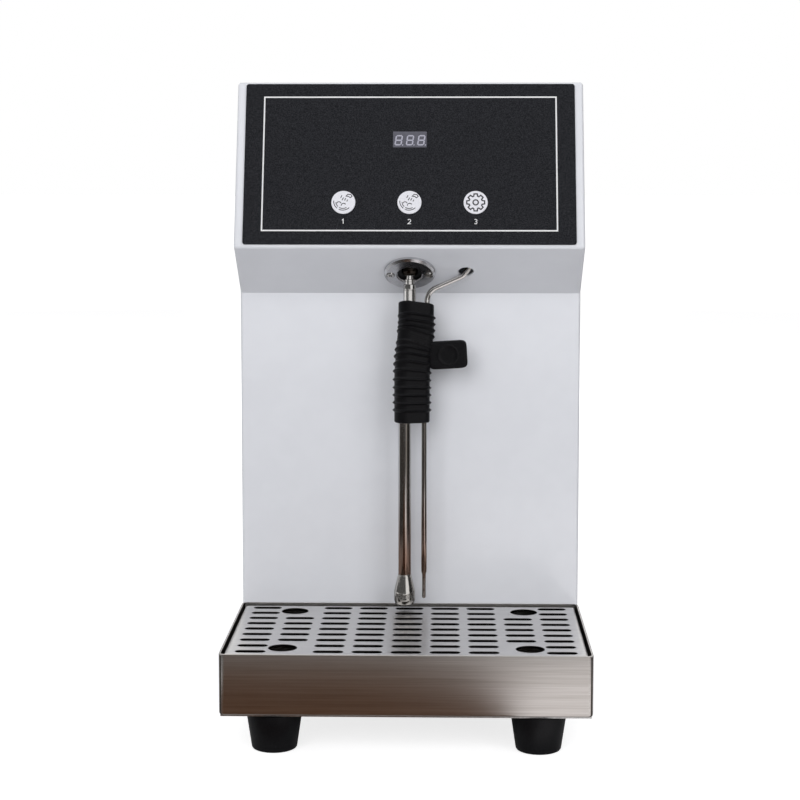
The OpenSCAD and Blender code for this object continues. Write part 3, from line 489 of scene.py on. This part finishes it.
# Grid: painted shade below its top face, in the slots and underneath.
finish("grid_steel", (0.59, 0.58, 0.575), (0.71, 0.70, 0.695), (0.28, 0.38), 1.0,
       grain=(12.0, 2600.0, 2600.0), bump=0.08, depth=0.00004,
       shades=[(INSIDE, GRID_SHADE_BOX, (0.020, 0.018, 0.017))])
finish("zinc_steel", (0.50, 0.50, 0.50), (0.66, 0.66, 0.65), (0.32, 0.48), 1.0, size=500.0,
       bump=0.08)
finish("brass", (0.56, 0.40, 0.16), (0.72, 0.55, 0.26), (0.28, 0.42), 1.0, size=600.0, bump=0.08)
finish("copper", (0.60, 0.30, 0.18), (0.76, 0.43, 0.29), (0.22, 0.40), 1.0, size=400.0, bump=0.05)
finish("black_rubber", (0.003, 0.003, 0.004), (0.007, 0.007, 0.008), (0.36, 0.48), size=1600.0,
       bump=0.15, depth=0.00006, sockets={"Specular IOR Level": 0.17})
finish("black_plastic", (0.012, 0.012, 0.013), (0.020, 0.020, 0.021), (0.36, 0.52), size=1400.0,
       bump=0.2, depth=0.00006, sockets={"Specular IOR Level": 0.3})
finish("red_plastic", (0.42, 0.022, 0.016), (0.52, 0.032, 0.024), (0.2, 0.32), bump=0.05)
finish("pale_plastic", (0.62, 0.59, 0.50), (0.70, 0.67, 0.58), (0.4, 0.55), size=700.0, bump=0.1)
finish("foam", (0.045, 0.045, 0.048), (0.075, 0.075, 0.08), (0.8, 0.95), size=700.0, bump=0.6,
       depth=0.0006)
finish("print_white", (0.82, 0.82, 0.83), (0.88, 0.88, 0.89), (0.4, 0.5), size=2000.0, bump=0.05)
finish("icon_ink", (0.022, 0.022, 0.026), (0.038, 0.038, 0.044), (0.4, 0.5), size=2000.0,
       bump=0.05)

FINISH_OF = {row["node"]: row["material_slot"] for row in frame["record"]["subparts"]}
FINISH_OF["flange_screws"] = "polished_steel"
for node_name, node in NODES.items():
    node.data.materials.clear()
    node.data.materials.append(FINISHES[FINISH_OF[node_name]])


# Camera, fitted to the panel's corners, the keys, the tray's corners and the feet
CAMERA_AT = (0.023907, -1.401776, 0.373185)
CAMERA_YAW, CAMERA_PITCH, CAMERA_ROLL = -0.0231, 0.0975, -0.0005
FOCAL_PIXELS, FRAME_PIXELS, AXIS_ROW = 1910.785, 800.0, 360.0
SENSOR_WIDTH = 36.0


def photo_camera():
    """A level camera turned by yaw, then pitch, then roll about its own axis."""
    ahead = np.array([math.sin(CAMERA_YAW) * math.cos(CAMERA_PITCH),
                      math.cos(CAMERA_YAW) * math.cos(CAMERA_PITCH), -math.sin(CAMERA_PITCH)])
    level = np.array([math.cos(CAMERA_YAW), -math.sin(CAMERA_YAW), 0.0])
    sunk = np.cross(ahead, level)
    right = math.cos(CAMERA_ROLL) * level + math.sin(CAMERA_ROLL) * sunk
    down = -math.sin(CAMERA_ROLL) * level + math.cos(CAMERA_ROLL) * sunk
    made = put_in("camera", bpy.data.cameras.new("camera"))
    made.data.sensor_width = SENSOR_WIDTH
    made.data.sensor_fit = "HORIZONTAL"
    made.data.lens = FOCAL_PIXELS / FRAME_PIXELS * SENSOR_WIDTH
    made.data.shift_y = (AXIS_ROW - FRAME_PIXELS / 2) / FRAME_PIXELS
    made.data.clip_start, made.data.clip_end = 0.01, 50.0
    made.matrix_world = turned_to((right, -down, -ahead), CAMERA_AT)
    return made


bpy.context.scene.camera = photo_camera()
bpy.context.scene.view_settings.view_transform = "Standard"


# Cabinet, tray and tip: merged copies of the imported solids, the first two with rolled edges
SOLID_WELD, FLAT_ANGLE, NEAR_EDGE = 2e-6, math.radians(0.5), 1e-5
SIDE_ROLL, RIM_ROLL, FOLD_ROLL, ROLL_STEPS = 2.3, 0.45, 1.8, 5


def merged(node_name):
    """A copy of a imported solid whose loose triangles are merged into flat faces."""
    source = bmesh.new()
    source.from_mesh(NODES[node_name].data)
    bmesh.ops.remove_doubles(source, verts=source.verts, dist=SOLID_WELD)
    bmesh.ops.dissolve_limit(source, angle_limit=FLAT_ANGLE, verts=source.verts, edges=source.edges)
    return source


def rolled(source, edges, radius):
    """Edges of a merged copy turned into an arc of the radius in mm."""
    bmesh.ops.bevel(source, geom=edges, offset=radius * MM, offset_type="OFFSET",
                    segments=ROLL_STEPS, profile=0.5, affect="EDGES", clamp_overlap=False)


def taken(source):
    """Points in mm and faces of a merged copy."""
    source.verts.index_update()
    points = np.array([v.co for v in source.verts]) / MM
    faces = [[v.index for v in face.verts] for face in source.faces]
    source.free()
    return points, faces


def rolled_cabinet():
    """Edges on the cabinet's two sides get a rolled radius, apart from those at back and bottom."""
    source, picked = merged("cabinet"), []
    for edge in source.edges:
        off_side = max(abs(abs(v.co.x) - BODY_W / 2 * MM) for v in edge.verts)
        if len(edge.link_faces) != 2 or off_side > NEAR_EDGE:
            continue
        turned = [face.normal for face in edge.link_faces if abs(face.normal.x) < 0.5]
        if len(turned) == 1 and turned[0].y < 0.5 and turned[0].z > -0.95:
            picked.append(edge)
    rolled(source, picked, SIDE_ROLL)
    return taken(source)


def softened_tray():
    """The tray's outer rim and lower edge get a small radius, as folded sheet has."""
    source = merged("drip_tray")
    for height, radius in ((RIM_Z, RIM_ROLL), (TRAY_Z, FOLD_ROLL)):
        picked = []
        for edge in source.edges:
            off_height = max(abs(v.co.z - height * MM) for v in edge.verts)
            if len(edge.link_faces) != 2 or off_height > NEAR_EDGE:
                continue
            upright = [face.normal for face in edge.link_faces if abs(face.normal.z) < 0.1]
            out = (edge.verts[0].co + edge.verts[1].co) / 2 - Vector((0, TRAY_MID_Y * MM, 0))
            if len(upright) == 1 and upright[0].dot(out) > 0:
                picked.append(edge)
        rolled(source, picked, radius)
    return taken(source)


piece("cabinet_shell", rolled_cabinet(), "white_paint", "cabinet", ["cabinet"], crease=32.0)
piece("tray_pan", softened_tray(), "pan_steel", "tray", ["drip_tray"], 32.0)
piece("polished_tip", taken(merged("steam_tip")), "tip_steel", "wand", ["steam_tip"],
      24.0)


# Feet: rubber cones with rounded rims, hollow under the screw
def foot_cones():
    """Four turned cones; the profile runs from the top rim down the flank and up the screw well."""
    profile = [(2.6, 25.0), (17.6, 25.0), (18.0, 24.8), (18.2, 24.3), (16.4, 12.0), (14.95, 2.4),
               (14.75, 1.3), (14.2, 0.5), (13.3, 0.05), (12.6, 0.0), (6.6, 0.0), (5.9, 0.15),
               (5.6, 0.7), (5.6, 14.9), (2.6, 15.0), (2.6, 25.0)]
    return gathered([lathe(profile, (x, y)) for x in FOOT_X for y in FOOT_Y])


piece("foot_set", foot_cones(), "black_rubber", "cabinet", ["rubber_feet"], crease=50.0)


# Wand tube, probe and grip
# Turned top of the tube and turned end of the probe: drop or height, radius.
COLLAR = np.array([(0.0, 3.9), (0.25, 4.25), (0.8, TUBE_R), (3.6, TUBE_R), (3.75, 4.1), (4.15, 4.1),
                   (4.3, TUBE_R)])
PROBE_END = np.array([(PROBE_STEP_Z + 0.6, PROBE_R), (PROBE_STEP_Z, 1.8), (PROBE_STEP_Z - 1.2, 1.4),
                      (PROBE_STEP_Z - 2.0, 1.3), (PROBE_TIP_Z + 1.3, 1.3), (PROBE_TIP_Z + 0.6, 1.1),
                      (PROBE_TIP_Z + 0.2, 0.75), (PROBE_TIP_Z, 0.3)])
TUBE_BEND_R, PROBE_BEND_R = (40.0, 40.0), (6, 10, 20, 20)


def wand_tube():
    """The bent tube, circles carried along a filleted path: a collar with a turned groove under the
    ball, then a plain run to the tip."""
    bend = filleted([(0, TUBE_TOP_Z), (0, SWAY_TOP_Z), (-SWAY, SWAY_TOP_Z - 18),
                     (-SWAY, TUBE_END_Z)], TUBE_BEND_R, 14)
    drops, radii = COLLAR.T
    path = np.concatenate([np.stack([0 * drops, TUBE_TOP_Z - drops], -1), bend[1:]])
    return swept(path, np.concatenate([radii, np.full(len(bend) - 1, TUBE_R)]), 64)


def probe_rod():
    """The thin probe: out of its hole, over to the grip and down beside the tube to a thinner tip.
    Circles are carried along that filleted path."""
    x = PROBE_X - PROBE_SWAY
    path = filleted([(43, BALL_Z + 3), (37, BALL_Z - 5), (PROBE_X, BALL_Z - 16),
                     (PROBE_X, SWAY_TOP_Z), (x, SWAY_TOP_Z - 12), (x, PROBE_TIP_Z + 40)],
                    PROBE_BEND_R, 12)
    heights, radii = PROBE_END.T
    end = np.stack([np.full(len(heights), x), heights], -1)
    radius = np.concatenate([np.full(len(path), PROBE_R), radii])
    return swept(np.concatenate([path, end]), radius, 40)


def ball_and_neck():
    """The turned ball with its neck, a grooved collar and a flat end inside the tube."""
    turn = np.radians(np.linspace(90, -50.0, 26))
    ball = BALL_R * np.stack([np.cos(turn), np.sin(turn)], -1)
    ball[0, 0] = 0.0
    neck = np.array([(2.6, -4.6), (2.6, -7.1), (3.3, -7.2), (3.5, -7.4), (3.5, -8.6), (3.3, -8.75),
                     (3.3, -8.95), (3.5, -9.1), (3.5, -11.0), (0.0, -11.0)])
    return lathe(np.concatenate([ball, neck]) + [0, BALL_Z], (0.0, BALL_Y), 64)


piece("ball_and_neck", ball_and_neck(), "ball_steel", "wand", ["wand_ball"])
piece("wand_tube", wand_tube(), "wand_steel", "wand", ["steam_wand"])
piece("probe_rod", probe_rod(), "wand_steel", "wand", ["temperature_probe"])

# Ribs of the grip: place down it, lean to the right, rise at the front, height.
GRIP_RIBS = np.array([
    (9.9, 0.055, 3.2, 1.35), (14.4, 0.055, 3.2, 1.35), (18.1, 0.09, 3.4, 1.25),
    (21.5, 0.17, 3.9, 1.1), (30.0, 0.20, 3.9, 0.75), (33.9, 0.10, 4.1, 1.2), (38.3, 0.07, 4.1, 1.3),
    (43.5, 0.05, 3.7, 1.4), (48.4, 0.05, 2.6, 1.4), (54.0, 0.02, 1.5, 1.4), (59.4, 0.01, 0.9, 1.4),
    (64.6, 0.0, 0.4, 1.4), (69.9, 0.0, 0.0, 1.4), (75.1, 0.0, 0.0, 1.4)])
RIB_REACH, RIB_POWER = 1.35, 1.15
RIPPLE_FROM, RIPPLE_TO, RIPPLE_PITCH, RIPPLE_H = 22.6, 33.2, 1.28, 0.34
GRIP_END_R, GRIP_ROWS, TOP_LEAN, TOP_RISE = 1.5, 330, 0.07, 1.6
GRIP_SWAY, GRIP_SWAY_FROM, GRIP_SWAY_OVER = 0.84 * SWAY, 12, 42
EGG_BIG, EGG_SMALL, EGG_SPAN = 7.9, 4.6, 12.3
BIG_STEPS, FLANK_STEPS, SMALL_STEPS = 60, 12, 26
TAB_HALF, TAB_POWER, TAB_HALF_T = np.array([13.5, 9.8]), 7, 3.3
TAB_X, TAB_Z, TAB_TILT = 26.6, GRIP_TOP_Z - 36.2, math.radians(3.4)


def egg_section():
    """Points and outward normals of the grip's section: two circles joined by their tangents."""
    cut = math.acos((EGG_BIG - EGG_SMALL) / EGG_SPAN)
    big = np.linspace(cut, 2 * math.pi - cut, BIG_STEPS)
    small = np.linspace(-cut, cut, SMALL_STEPS)
    flank = np.arange(1, FLANK_STEPS + 1) / (FLANK_STEPS + 1)
    turn = np.concatenate([big, 0 * flank - cut, small, 0 * flank + cut])
    share = np.concatenate([0 * big, flank, 0 * small + 1, 1 - flank])
    normal = np.stack([np.cos(turn), np.sin(turn)], -1)
    radius = EGG_BIG + (EGG_SMALL - EGG_BIG) * share
    return np.stack([share * EGG_SPAN, 0 * share], -1) + radius[:, None] * normal, normal


def grip_body():
    """The egg section carried down the bent wand. Each row leans and rises with the ribs near it,
    and stands out by a sharp ridge at each rib and by a fine ripple on the front of the bend."""
    section, normal = egg_section()
    s = np.linspace(0, GRIP_L, GRIP_ROWS)[:, None]
    places, leans, rises, heights = GRIP_RIBS.T
    lean = np.interp(s, np.r_[0, places, GRIP_L], np.r_[TOP_LEAN, leans, 0])
    rise = np.interp(s, np.r_[0, places, GRIP_L], np.r_[TOP_RISE, rises, 0])
    front = -section[:, 1] / EGG_BIG
    near_rib = np.clip(1 - np.abs(s[:, :, None] - places) / RIB_REACH, 0, 1)
    ridge = near_rib ** RIB_POWER * heights
    left_soft = 1 - 0.6 * smooth((-section[:, 0] - 2) / 5) * smooth((24 - s) / 6)
    stand = ridge.sum(-1) * left_soft
    window = smooth((s - RIPPLE_FROM) / 1.5) * smooth((RIPPLE_TO - s) / 1.5)
    facet = smooth((section[:, 0] - 0.5) / 4) * smooth((front - 0.1) / 0.3)
    wave = 0.5 - 0.5 * np.cos(2 * math.pi * (s - RIPPLE_FROM) / RIPPLE_PITCH)
    stand = stand + RIPPLE_H * window * facet * wave
    near_end = np.clip(1 - np.minimum(s, GRIP_L - s) / GRIP_END_R, 0, 1)
    stand = stand - GRIP_END_R * (1 - np.sqrt(1 - near_end ** 2))
    x = section[:, 0] + stand * normal[:, 0]
    y = section[:, 1] + stand * normal[:, 1]
    drop = s + lean * (section[:, 0] - 2) - rise * front
    sway = -GRIP_SWAY * smooth((s - GRIP_SWAY_FROM) / GRIP_SWAY_OVER)
    rows = np.stack([x + sway, BALL_Y + y, GRIP_TOP_Z - drop], -1)
    middle = rows[[0, -1]].mean(1, keepdims=True)
    caps = [middle + (rows[[0, -1]] - middle) * k for k in (0.0, 0.5)]
    rows = np.concatenate([caps[0][:1], caps[1][:1], rows, caps[1][1:], caps[0][1:]])
    return rows, stitch(*rows.shape[:2], True)


def grip_tab():
    """The flat tab: circles round its middle grow into a squared oval |x/a|^7 + |y/b|^7 = 1, which
    rolls over the edge to the back. A low ring stands on both faces."""
    turn = np.linspace(0, 2 * math.pi, 120, endpoint=False)
    disc = np.stack([np.cos(turn), np.sin(turn)], -1)
    squared = (np.abs(disc / TAB_HALF) ** TAB_POWER).sum(1, keepdims=True)
    outline = disc * squared ** (-1 / TAB_POWER)
    face = [(disc * r, TAB_HALF_T + h) for r, h in
            ((0, 0), (4.0, 0), (6.2, 0), (6.45, 0.2), (6.8, 0.28), (7.15, 0.2), (7.4, 0), (8.0, 0))]
    face += [(outline * (1 - k / TAB_HALF), h) for k, h in
             ((1.5, 3.35), (0.8, 3.3), (0.3, 2.9), (0.05, 2.3), (0.0, 1.6))]
    rows = [np.hstack([p, np.full((len(p), 1), h)]) for p, h in face]
    flat = np.stack(rows + [row * [1, 1, -1] for row in rows[::-1]])
    x = TAB_X + flat[..., 0] * math.cos(TAB_TILT) - flat[..., 1] * math.sin(TAB_TILT)
    z = TAB_Z + flat[..., 0] * math.sin(TAB_TILT) + flat[..., 1] * math.cos(TAB_TILT)
    return np.stack([x, BALL_Y - flat[..., 2], z], -1), stitch(*flat.shape[:2], True)


piece("rubber_grip", grip_body(), "black_rubber", "wand", ["wand_grip"], crease=60.0)
piece("grip_tab", grip_tab(), "black_rubber", "wand", crease=60.0)


# Drip grid: one cell of sheet round each slot, pressed in at the rim
PITCH_X, PITCH_Y = 25.1, 15.5
SLOT_HALF, SLOT_R, SLOT_LIP = 6.6, 3.0, 0.6
HOLE_R, HOLE_LIP, HOLE_X, HOLE_Y = 9.2, 0.4, 3.2 * PITCH_X, 3.38 * PITCH_Y
LAST, HOLE_COLUMN, HOLE_ROW = 4, 3, 3
WALL_X, WALL_Y = GRID_W / 2 - FOLD_R, GRID_D / 2 - FOLD_R
TIGHT_X = 90.06


def grid_cells():
    """Middles, half lengths, radii, lips and cell edges of every slot and finger hole. The cells
    fill the sheet: the outer ones reach its fold, and those beside a finger hole end at TIGHT_X."""
    cells = []
    for c in range(-LAST, LAST + 1):
        for r in range(-LAST, LAST + 1):
            beside_hole = abs(r) >= HOLE_ROW
            if abs(c) == HOLE_COLUMN and beside_hole:
                continue
            x, y = c * PITCH_X, r * PITCH_Y
            inner = TIGHT_X if beside_hole else (LAST - 0.5) * PITCH_X
            x0 = -WALL_X if c == -LAST else inner if c == LAST else x - PITCH_X / 2
            x1 = WALL_X if c == LAST else -inner if c == -LAST else x + PITCH_X / 2
            y0 = -WALL_Y if r == -LAST else y - PITCH_Y / 2
            y1 = WALL_Y if r == LAST else y + PITCH_Y / 2
            cells.append((x, y, SLOT_HALF, SLOT_R, SLOT_LIP, x0, x1, y0, y1))
    for sx in (-1, 1):
        for sy in (-1, 1):
            xs = sorted((sx * (HOLE_COLUMN - 0.5) * PITCH_X, sx * TIGHT_X))
            ys = sorted((sy * (HOLE_ROW - 0.5) * PITCH_Y, sy * WALL_Y))
            cells.append((sx * HOLE_X, sy * HOLE_Y, 0.0, HOLE_R, HOLE_LIP, *xs, *ys))
    return np.array(cells)


def slotted_sheet():
    """Each cell runs from its straight edges in to its slot, over a pressed lip and back below.
    A skirt is carried round the sheet, rounded at the top."""
    x, y, half, r, lip, x0, x1, y0, y1 = grid_cells().T[:, :, None]
    quadrants = []
    for sx, sy in ((1, 1), (-1, 1), (-1, -1), (1, -1)):
        reach_x = (x1 - x if sx > 0 else x - x0) - half
        reach_y = y1 - y if sy > 0 else y - y0
        corner = np.arctan2(reach_y, reach_x)
        turn = np.concatenate([corner * np.linspace(0, 1, 5),
                               corner + (math.pi / 2 - corner) * np.linspace(0.25, 1, 4)], 1)
        run = np.minimum(reach_x / np.maximum(np.cos(turn), 1e-9),
                         reach_y / np.maximum(np.sin(turn), 1e-9))
        along = np.stack([sx * np.cos(turn), sy * np.sin(turn)], -1)
        start = np.stack([x + sx * half + 0 * turn, y + 0 * turn], -1)
        turned = slice(None) if sx * sy > 0 else slice(None, None, -1)
        quadrants.append([a[:, turned] for a in (start, along, run)])
    start, along, run = (np.concatenate([q[i] for q in quadrants], 1) for i in range(3))
    pressed = [(1.0, 0.0), (0.72, -0.04), (0.4, -0.15), (0.12, -0.36), (0.0, -0.6)]
    rows = [(run, 0.0)] + [(r + lip * k + 0 * run, h) for k, h in pressed]
    rows += [(r + 0 * run, -SHEET_T), (run, -SHEET_T)]
    flat = [np.concatenate([start + along * d[..., None], np.full((*d.shape, 1), h)], -1)
            for d, h in rows]
    flat = np.stack(flat, 1) + [0, GRID_Y, GRID_TOP]
    parts = [(cell, stitch(*cell.shape[:2], True)) for cell in flat]
    low = GRID_LOW - GRID_TOP
    skirt = [(FOLD_R, 0.0), (1.1, -0.03), (0.5, -0.18), (0.13, -0.55), (0.0, -1.1), (0.0, low),
             (1.2, low), (1.2, -SHEET_T), (FOLD_R, -SHEET_T)]
    walls = []
    for k, h in skirt:
        ring = soft_outline(GRID_W - 2 * k, GRID_D - 2 * k, max(FOLD_R - k, 0.0), 7)
        walls.append(np.hstack([ring, np.full((len(ring), 1), h)]))
    walls = np.stack(walls) + [0, GRID_Y, GRID_TOP]
    parts.append((walls, stitch(*walls.shape[:2], True)))
    return gathered(parts)


piece("slotted_grid", slotted_sheet(), "grid_steel", "grid", ["drip_grid"], 40.0)


# Panel print: frame line, display figures, key symbols and plain key numbers
PRINT_LOW, PRINT_HIGH = OVERLAY_T - 0.03, OVERLAY_T + 0.04
INK_LOW, INK_HIGH = KEY_FACE - 0.03, KEY_FACE + 0.03
LINE_W, NUMBER_W, FROTH_W, GEAR_W = 0.98, 0.5, 0.56, 0.9
NUMBER_V = 18.4
FRAME_LINE = [(-101.0, 11.9), (101.0, 11.9), (101.0, 108.6), (-101.0, 108.6)]
piece("frame_line", ribbon(FRAME_LINE, LINE_W, PRINT_LOW, PRINT_HIGH, True), "print_white",
      "cabinet")


BAR_T, FIGURE_SLANT = 0.475, 0.15


def six_cornered(k, t):
    """A level bar from -k to k with pointed ends, 2 t thick."""
    return np.array([(-k, 0), (-k + t, t), (k - t, t), (k, 0), (k - t, -t), (-k + t, -t)])


def figure_eights():
    """Three slanted seven-bar figures with their points, as six-cornered bars."""
    flat, tall = six_cornered(1.95, BAR_T), six_cornered(1.62, BAR_T)[:, ::-1] * [1, -1]
    bars = np.concatenate([flat + np.array([(0, 3.3), (0, 0), (0, -3.3)])[:, None],
                           tall + np.array([(-2.05, 1.65), (2.05, 1.65), (-2.05, -1.65),
                                            (2.05, -1.65)])[:, None]])
    dot = arc((3.25, -3.45), 0.48, 0, 300, 6)[None]
    one = np.concatenate([bars, dot])
    one = one + np.stack([FIGURE_SLANT * one[..., 1], 0 * one[..., 1]], -1)
    places = np.array([(-7.7, -0.6), (0.1, -0.6), (7.9, -0.6)]) + [0, DISPLAY_V]
    return slabs((one[None] + places[:, None, None]).reshape(-1, 6, 2), PRINT_LOW, PRINT_HIGH)


piece("display_figures", figure_eights(), "display_grey", "cabinet")
EDGE_STRIP = np.array([(-11.5, 4.75), (11.5, 4.75), (11.5, 5.7), (-11.5, 5.7)]) + [0, DISPLAY_V]
piece("display_edge", slabs([EDGE_STRIP], PRINT_LOW, OVERLAY_T + 0.02), "smoke_lens", "cabinet")

# The strokes of 1, 2 and 3
NUMBER_STROKES = (
    np.array([(-0.7, 0.9), (0.1, 1.6), (0.1, -1.6)]),
    np.concatenate([arc((0, 0.65), 0.95, 160, -40, 9), [(-0.95, -1.6), (1.05, -1.6)]]),
    np.concatenate([arc((0, 0.78), 0.82, 150, -80, 9), arc((0, -0.75), 0.88, 80, -150, 10)]))
numbers = [ribbon(stroke + [middle, NUMBER_V], NUMBER_W, PRINT_LOW, PRINT_HIGH)
           for stroke, middle in zip(NUMBER_STROKES, (-KEY_PITCH, 0.0, KEY_PITCH))]
piece("key_numbers", gathered(numbers), "print_white", "cabinet")


def froth_symbol(middle):
    """A nozzle, four drops and the froth of a jug, drawn in thin lines on a key."""
    nozzle = [(1.9, 4.4), (3.1, 5.8), (5.2, 5.5), (6.0, 4.2), (4.7, 3.3), (3.6, 4.2)]
    drops = [[(1.7, 3.0), (0.8, 1.3)], [(0.1, 3.4), (-0.9, 1.5)], [(-1.0, 5.0), (-1.9, 3.2)],
             [(3.0, 1.9), (2.4, 0.6)]]
    froth = [arc((-0.3, 0.7), 6.3, 176, 232, 10), arc((-0.3, 0.7), 6.3, 244, 314, 12),
             arc((-0.2, 0.5), 4.9, 186, 226, 9), arc((-0.2, 0.5), 4.9, 238, 300, 10),
             arc((-3.0, -1.1), 1.5, 15, 165, 9), arc((0.2, -2.3), 1.6, 30, 185, 9)]
    return gathered([ribbon(np.asarray(line) + [middle, KEY_V], FROTH_W, INK_LOW, INK_HIGH, closed)
                     for lines, closed in (([nozzle], True), (drops + froth, False))
                     for line in lines])


def gear_symbol(middle):
    """A gear outline with eight teeth and a ring at its middle."""
    steps = np.radians(np.array([-17.0, -10.0, 10.0, 17.0]))
    turn = (np.arange(8)[:, None] * math.pi / 4 + steps).ravel()
    radius = np.tile([4.6, 6.2, 6.2, 4.6], 8)
    teeth = np.stack([radius * np.cos(turn), radius * np.sin(turn)], -1)
    return gathered([ribbon(line + [middle, KEY_V], GEAR_W, INK_LOW, INK_HIGH, True)
                     for line in (teeth, arc((0, 0), 1.8, 0, 345, 24))])


for key_name, shape in (("key_one", froth_symbol(-KEY_PITCH)), ("key_two", froth_symbol(0.0)),
                        ("key_three", gear_symbol(KEY_PITCH))):
    piece(key_name + "_symbol", shape, "icon_ink", key_name)


# Stage: pale floor, soft lamps, and cards that only reflections see
FLOOR_LIFT, AMBIENT = 0.756, 0.40
ONE_FACE, BAND_STEPS = [[0, 1, 2, 3]], 12
FLOOR_HALF, CARD_FRONT, CARD_BACK, CARD_Z = 30, -0.9, -0.214, 0.001


def stage_mesh(name, points, faces, surface):
    """A stage object from points in metres."""
    mesh = bpy.data.meshes.new(name)
    mesh.from_pydata(points, [], faces)
    mesh.materials.append(surface)
    made = put_in(name, mesh)
    return made


def pale_floor():
    """Floor material: a pale matt tint, lifted towards white for the camera only."""
    made = bpy.data.materials.new("pale_floor")
    made.use_nodes = True
    tree = made.node_tree
    shader = tree.nodes["Principled BSDF"]
    shader.inputs["Base Color"].default_value = (0.62, 0.62, 0.63, 1)
    shader.inputs["Roughness"].default_value = 0.7
    shader.inputs["Emission Color"].default_value = (1, 1, 1, 1)
    path = tree.nodes.new("ShaderNodeLightPath")
    tree.links.new(math_node(tree, "MULTIPLY", path.outputs["Is Camera Ray"], FLOOR_LIFT),
                   shader.inputs["Emission Strength"])
    return made


def card(name, points, faces, colour):
    """A card of one tone that reflections see, and that neither shows nor shades."""
    surface = bpy.data.materials.new(name)
    surface.use_nodes = True
    tree = surface.node_tree
    tree.nodes.remove(tree.nodes["Principled BSDF"])
    glow = tree.nodes.new("ShaderNodeEmission")
    glow.inputs["Color"].default_value = (*colour, 1)
    tree.links.new(glow.outputs["Emission"], tree.nodes["Material Output"].inputs["Surface"])
    made = stage_mesh(name, points, faces, surface)
    made.visible_camera = made.visible_diffuse = made.visible_shadow = False
    made.visible_transmission = made.visible_volume_scatter = False


def flat_corners(left, right, front, back, height):
    """The corners of a level rectangle."""
    return [(left, front, height), (right, front, height), (right, back, height),
            (left, back, height)]


def card_band(name, start, end, profile, colour):
    """Part of a round band of cards about the wand: a profile of (radius, height) in metres, turned
    from start to end, in degrees from straight ahead of the user's side, positive to the right."""
    turn = np.radians(np.linspace(start, end, BAND_STEPS))
    radius, height = np.array(profile).T[:, :, None]
    x, y = radius * np.sin(turn), BALL_Y * MM - radius * np.cos(turn)
    points = np.stack([x, y, height + 0 * turn], -1).reshape(-1, 3)
    faces = stitch(len(profile), BAND_STEPS, False)
    card(name, points.tolist(), faces.tolist(), colour)


stage_mesh("floor", flat_corners(-FLOOR_HALF, FLOOR_HALF, -FLOOR_HALF, FLOOR_HALF, 0), ONE_FACE,
           pale_floor())
# Floor before the tray, seen by the tray's front
for card_name, left, right, tint in (("brown_card", -0.24, 0.073, (0.102, 0.049, 0.025)),
                                     ("bright_card", 0.073, 0.40, (1.05, 1.01, 1.01))):
    card(card_name, flat_corners(left, right, CARD_FRONT, CARD_BACK, CARD_Z), ONE_FACE, tint)

# Near floor, seen by the tube; low band, seen by the neck; high and tall bands, by tip and panel
NEAR, NEAR_TINT, PLAIN = [(0.58, 0.0005), (2.3, 0.0005)], (1.0, 0.88, 0.79), (1, 1, 1)
LOW = [(2.4, 0.001), (4.0, 0.001), (4.0, 0.16)]
HIGH, TALL = [(4.0, 0.17), (4.0, 1.45)], [(4.0, 0.17), (4.0, 2.8)]
for card_name, start, end, profile, tone in (
        ("near_left", -135, -100, NEAR, 0.15), ("near_front", -100, 20, NEAR, 0.036),
        ("near_window", 20, 44, NEAR, 0.22), ("near_right", 44, 140, NEAR, 0.024),
        ("low_dark_left", -170, -98, LOW, 0.05), ("low_bright_left", -98, -68, LOW, 1.0),
        ("low_mid_left", -68, -18, LOW, 0.20), ("low_bright_front", -18, 40, LOW, 1.0),
        ("low_dark_right", 46, 170, LOW, 0.07), ("high_dark_left", -170, -90, HIGH, 0.06),
        ("tall_mid_front", -90, 16, TALL, 0.10), ("tall_dark_right", 56, 110, TALL, 0.02),
        ("high_dark_right", 110, 170, HIGH, 0.02)):
    tint = NEAR_TINT if profile is NEAR else PLAIN
    card_band(card_name, start, end, profile, tone * np.array(tint))


def lamp(name, at, towards, size, watts):
    """A square soft lamp aimed at a point, left out of reflections."""
    data = bpy.data.lights.new(name, "AREA")
    data.shape, data.size, data.energy = "SQUARE", size, watts
    back = np.array(at, float) - np.array(towards, float)
    back /= np.linalg.norm(back)
    side = np.cross((0, 0, 1), back)
    side /= np.linalg.norm(side)
    made = put_in(name, data)
    made.matrix_world = turned_to((side, np.cross(back, side), back), at)
    made.visible_glossy = False


lamp("key_lamp", (-0.9, -2.6, 1.5), (0, -0.05, 0.22), 1.8, 32)
lamp("fill_lamp", (1.7, -2.2, 1.3), (0, -0.05, 0.22), 1.6, 20)
lamp("back_lamp", (0.9, 2.6, 1.1), (0, 0.1, 0.25), 1.6, 20)
lamp("side_lamp", (-2.7, 0.7, 1.2), (0, 0.1, 0.22), 1.6, 13)

# World: white where it is seen or mirrored, softer as a light
world = bpy.data.worlds.new("studio")
bpy.context.scene.world = world
world.use_nodes = True
sky = world.node_tree
backdrop = sky.nodes["Background"]
backdrop.inputs["Color"].default_value = (1.0, 1.0, 1.0, 1)
rays = sky.nodes.new("ShaderNodeLightPath")
seen = math_node(sky, "MAXIMUM", rays.outputs["Is Camera Ray"], rays.outputs["Is Glossy Ray"])
seen = math_node(sky, "MAXIMUM", seen, rays.outputs["Is Transmission Ray"])
sky.links.new(ranged(sky, seen, 0.0, 1.0, AMBIENT, 1.0), backdrop.inputs["Strength"])
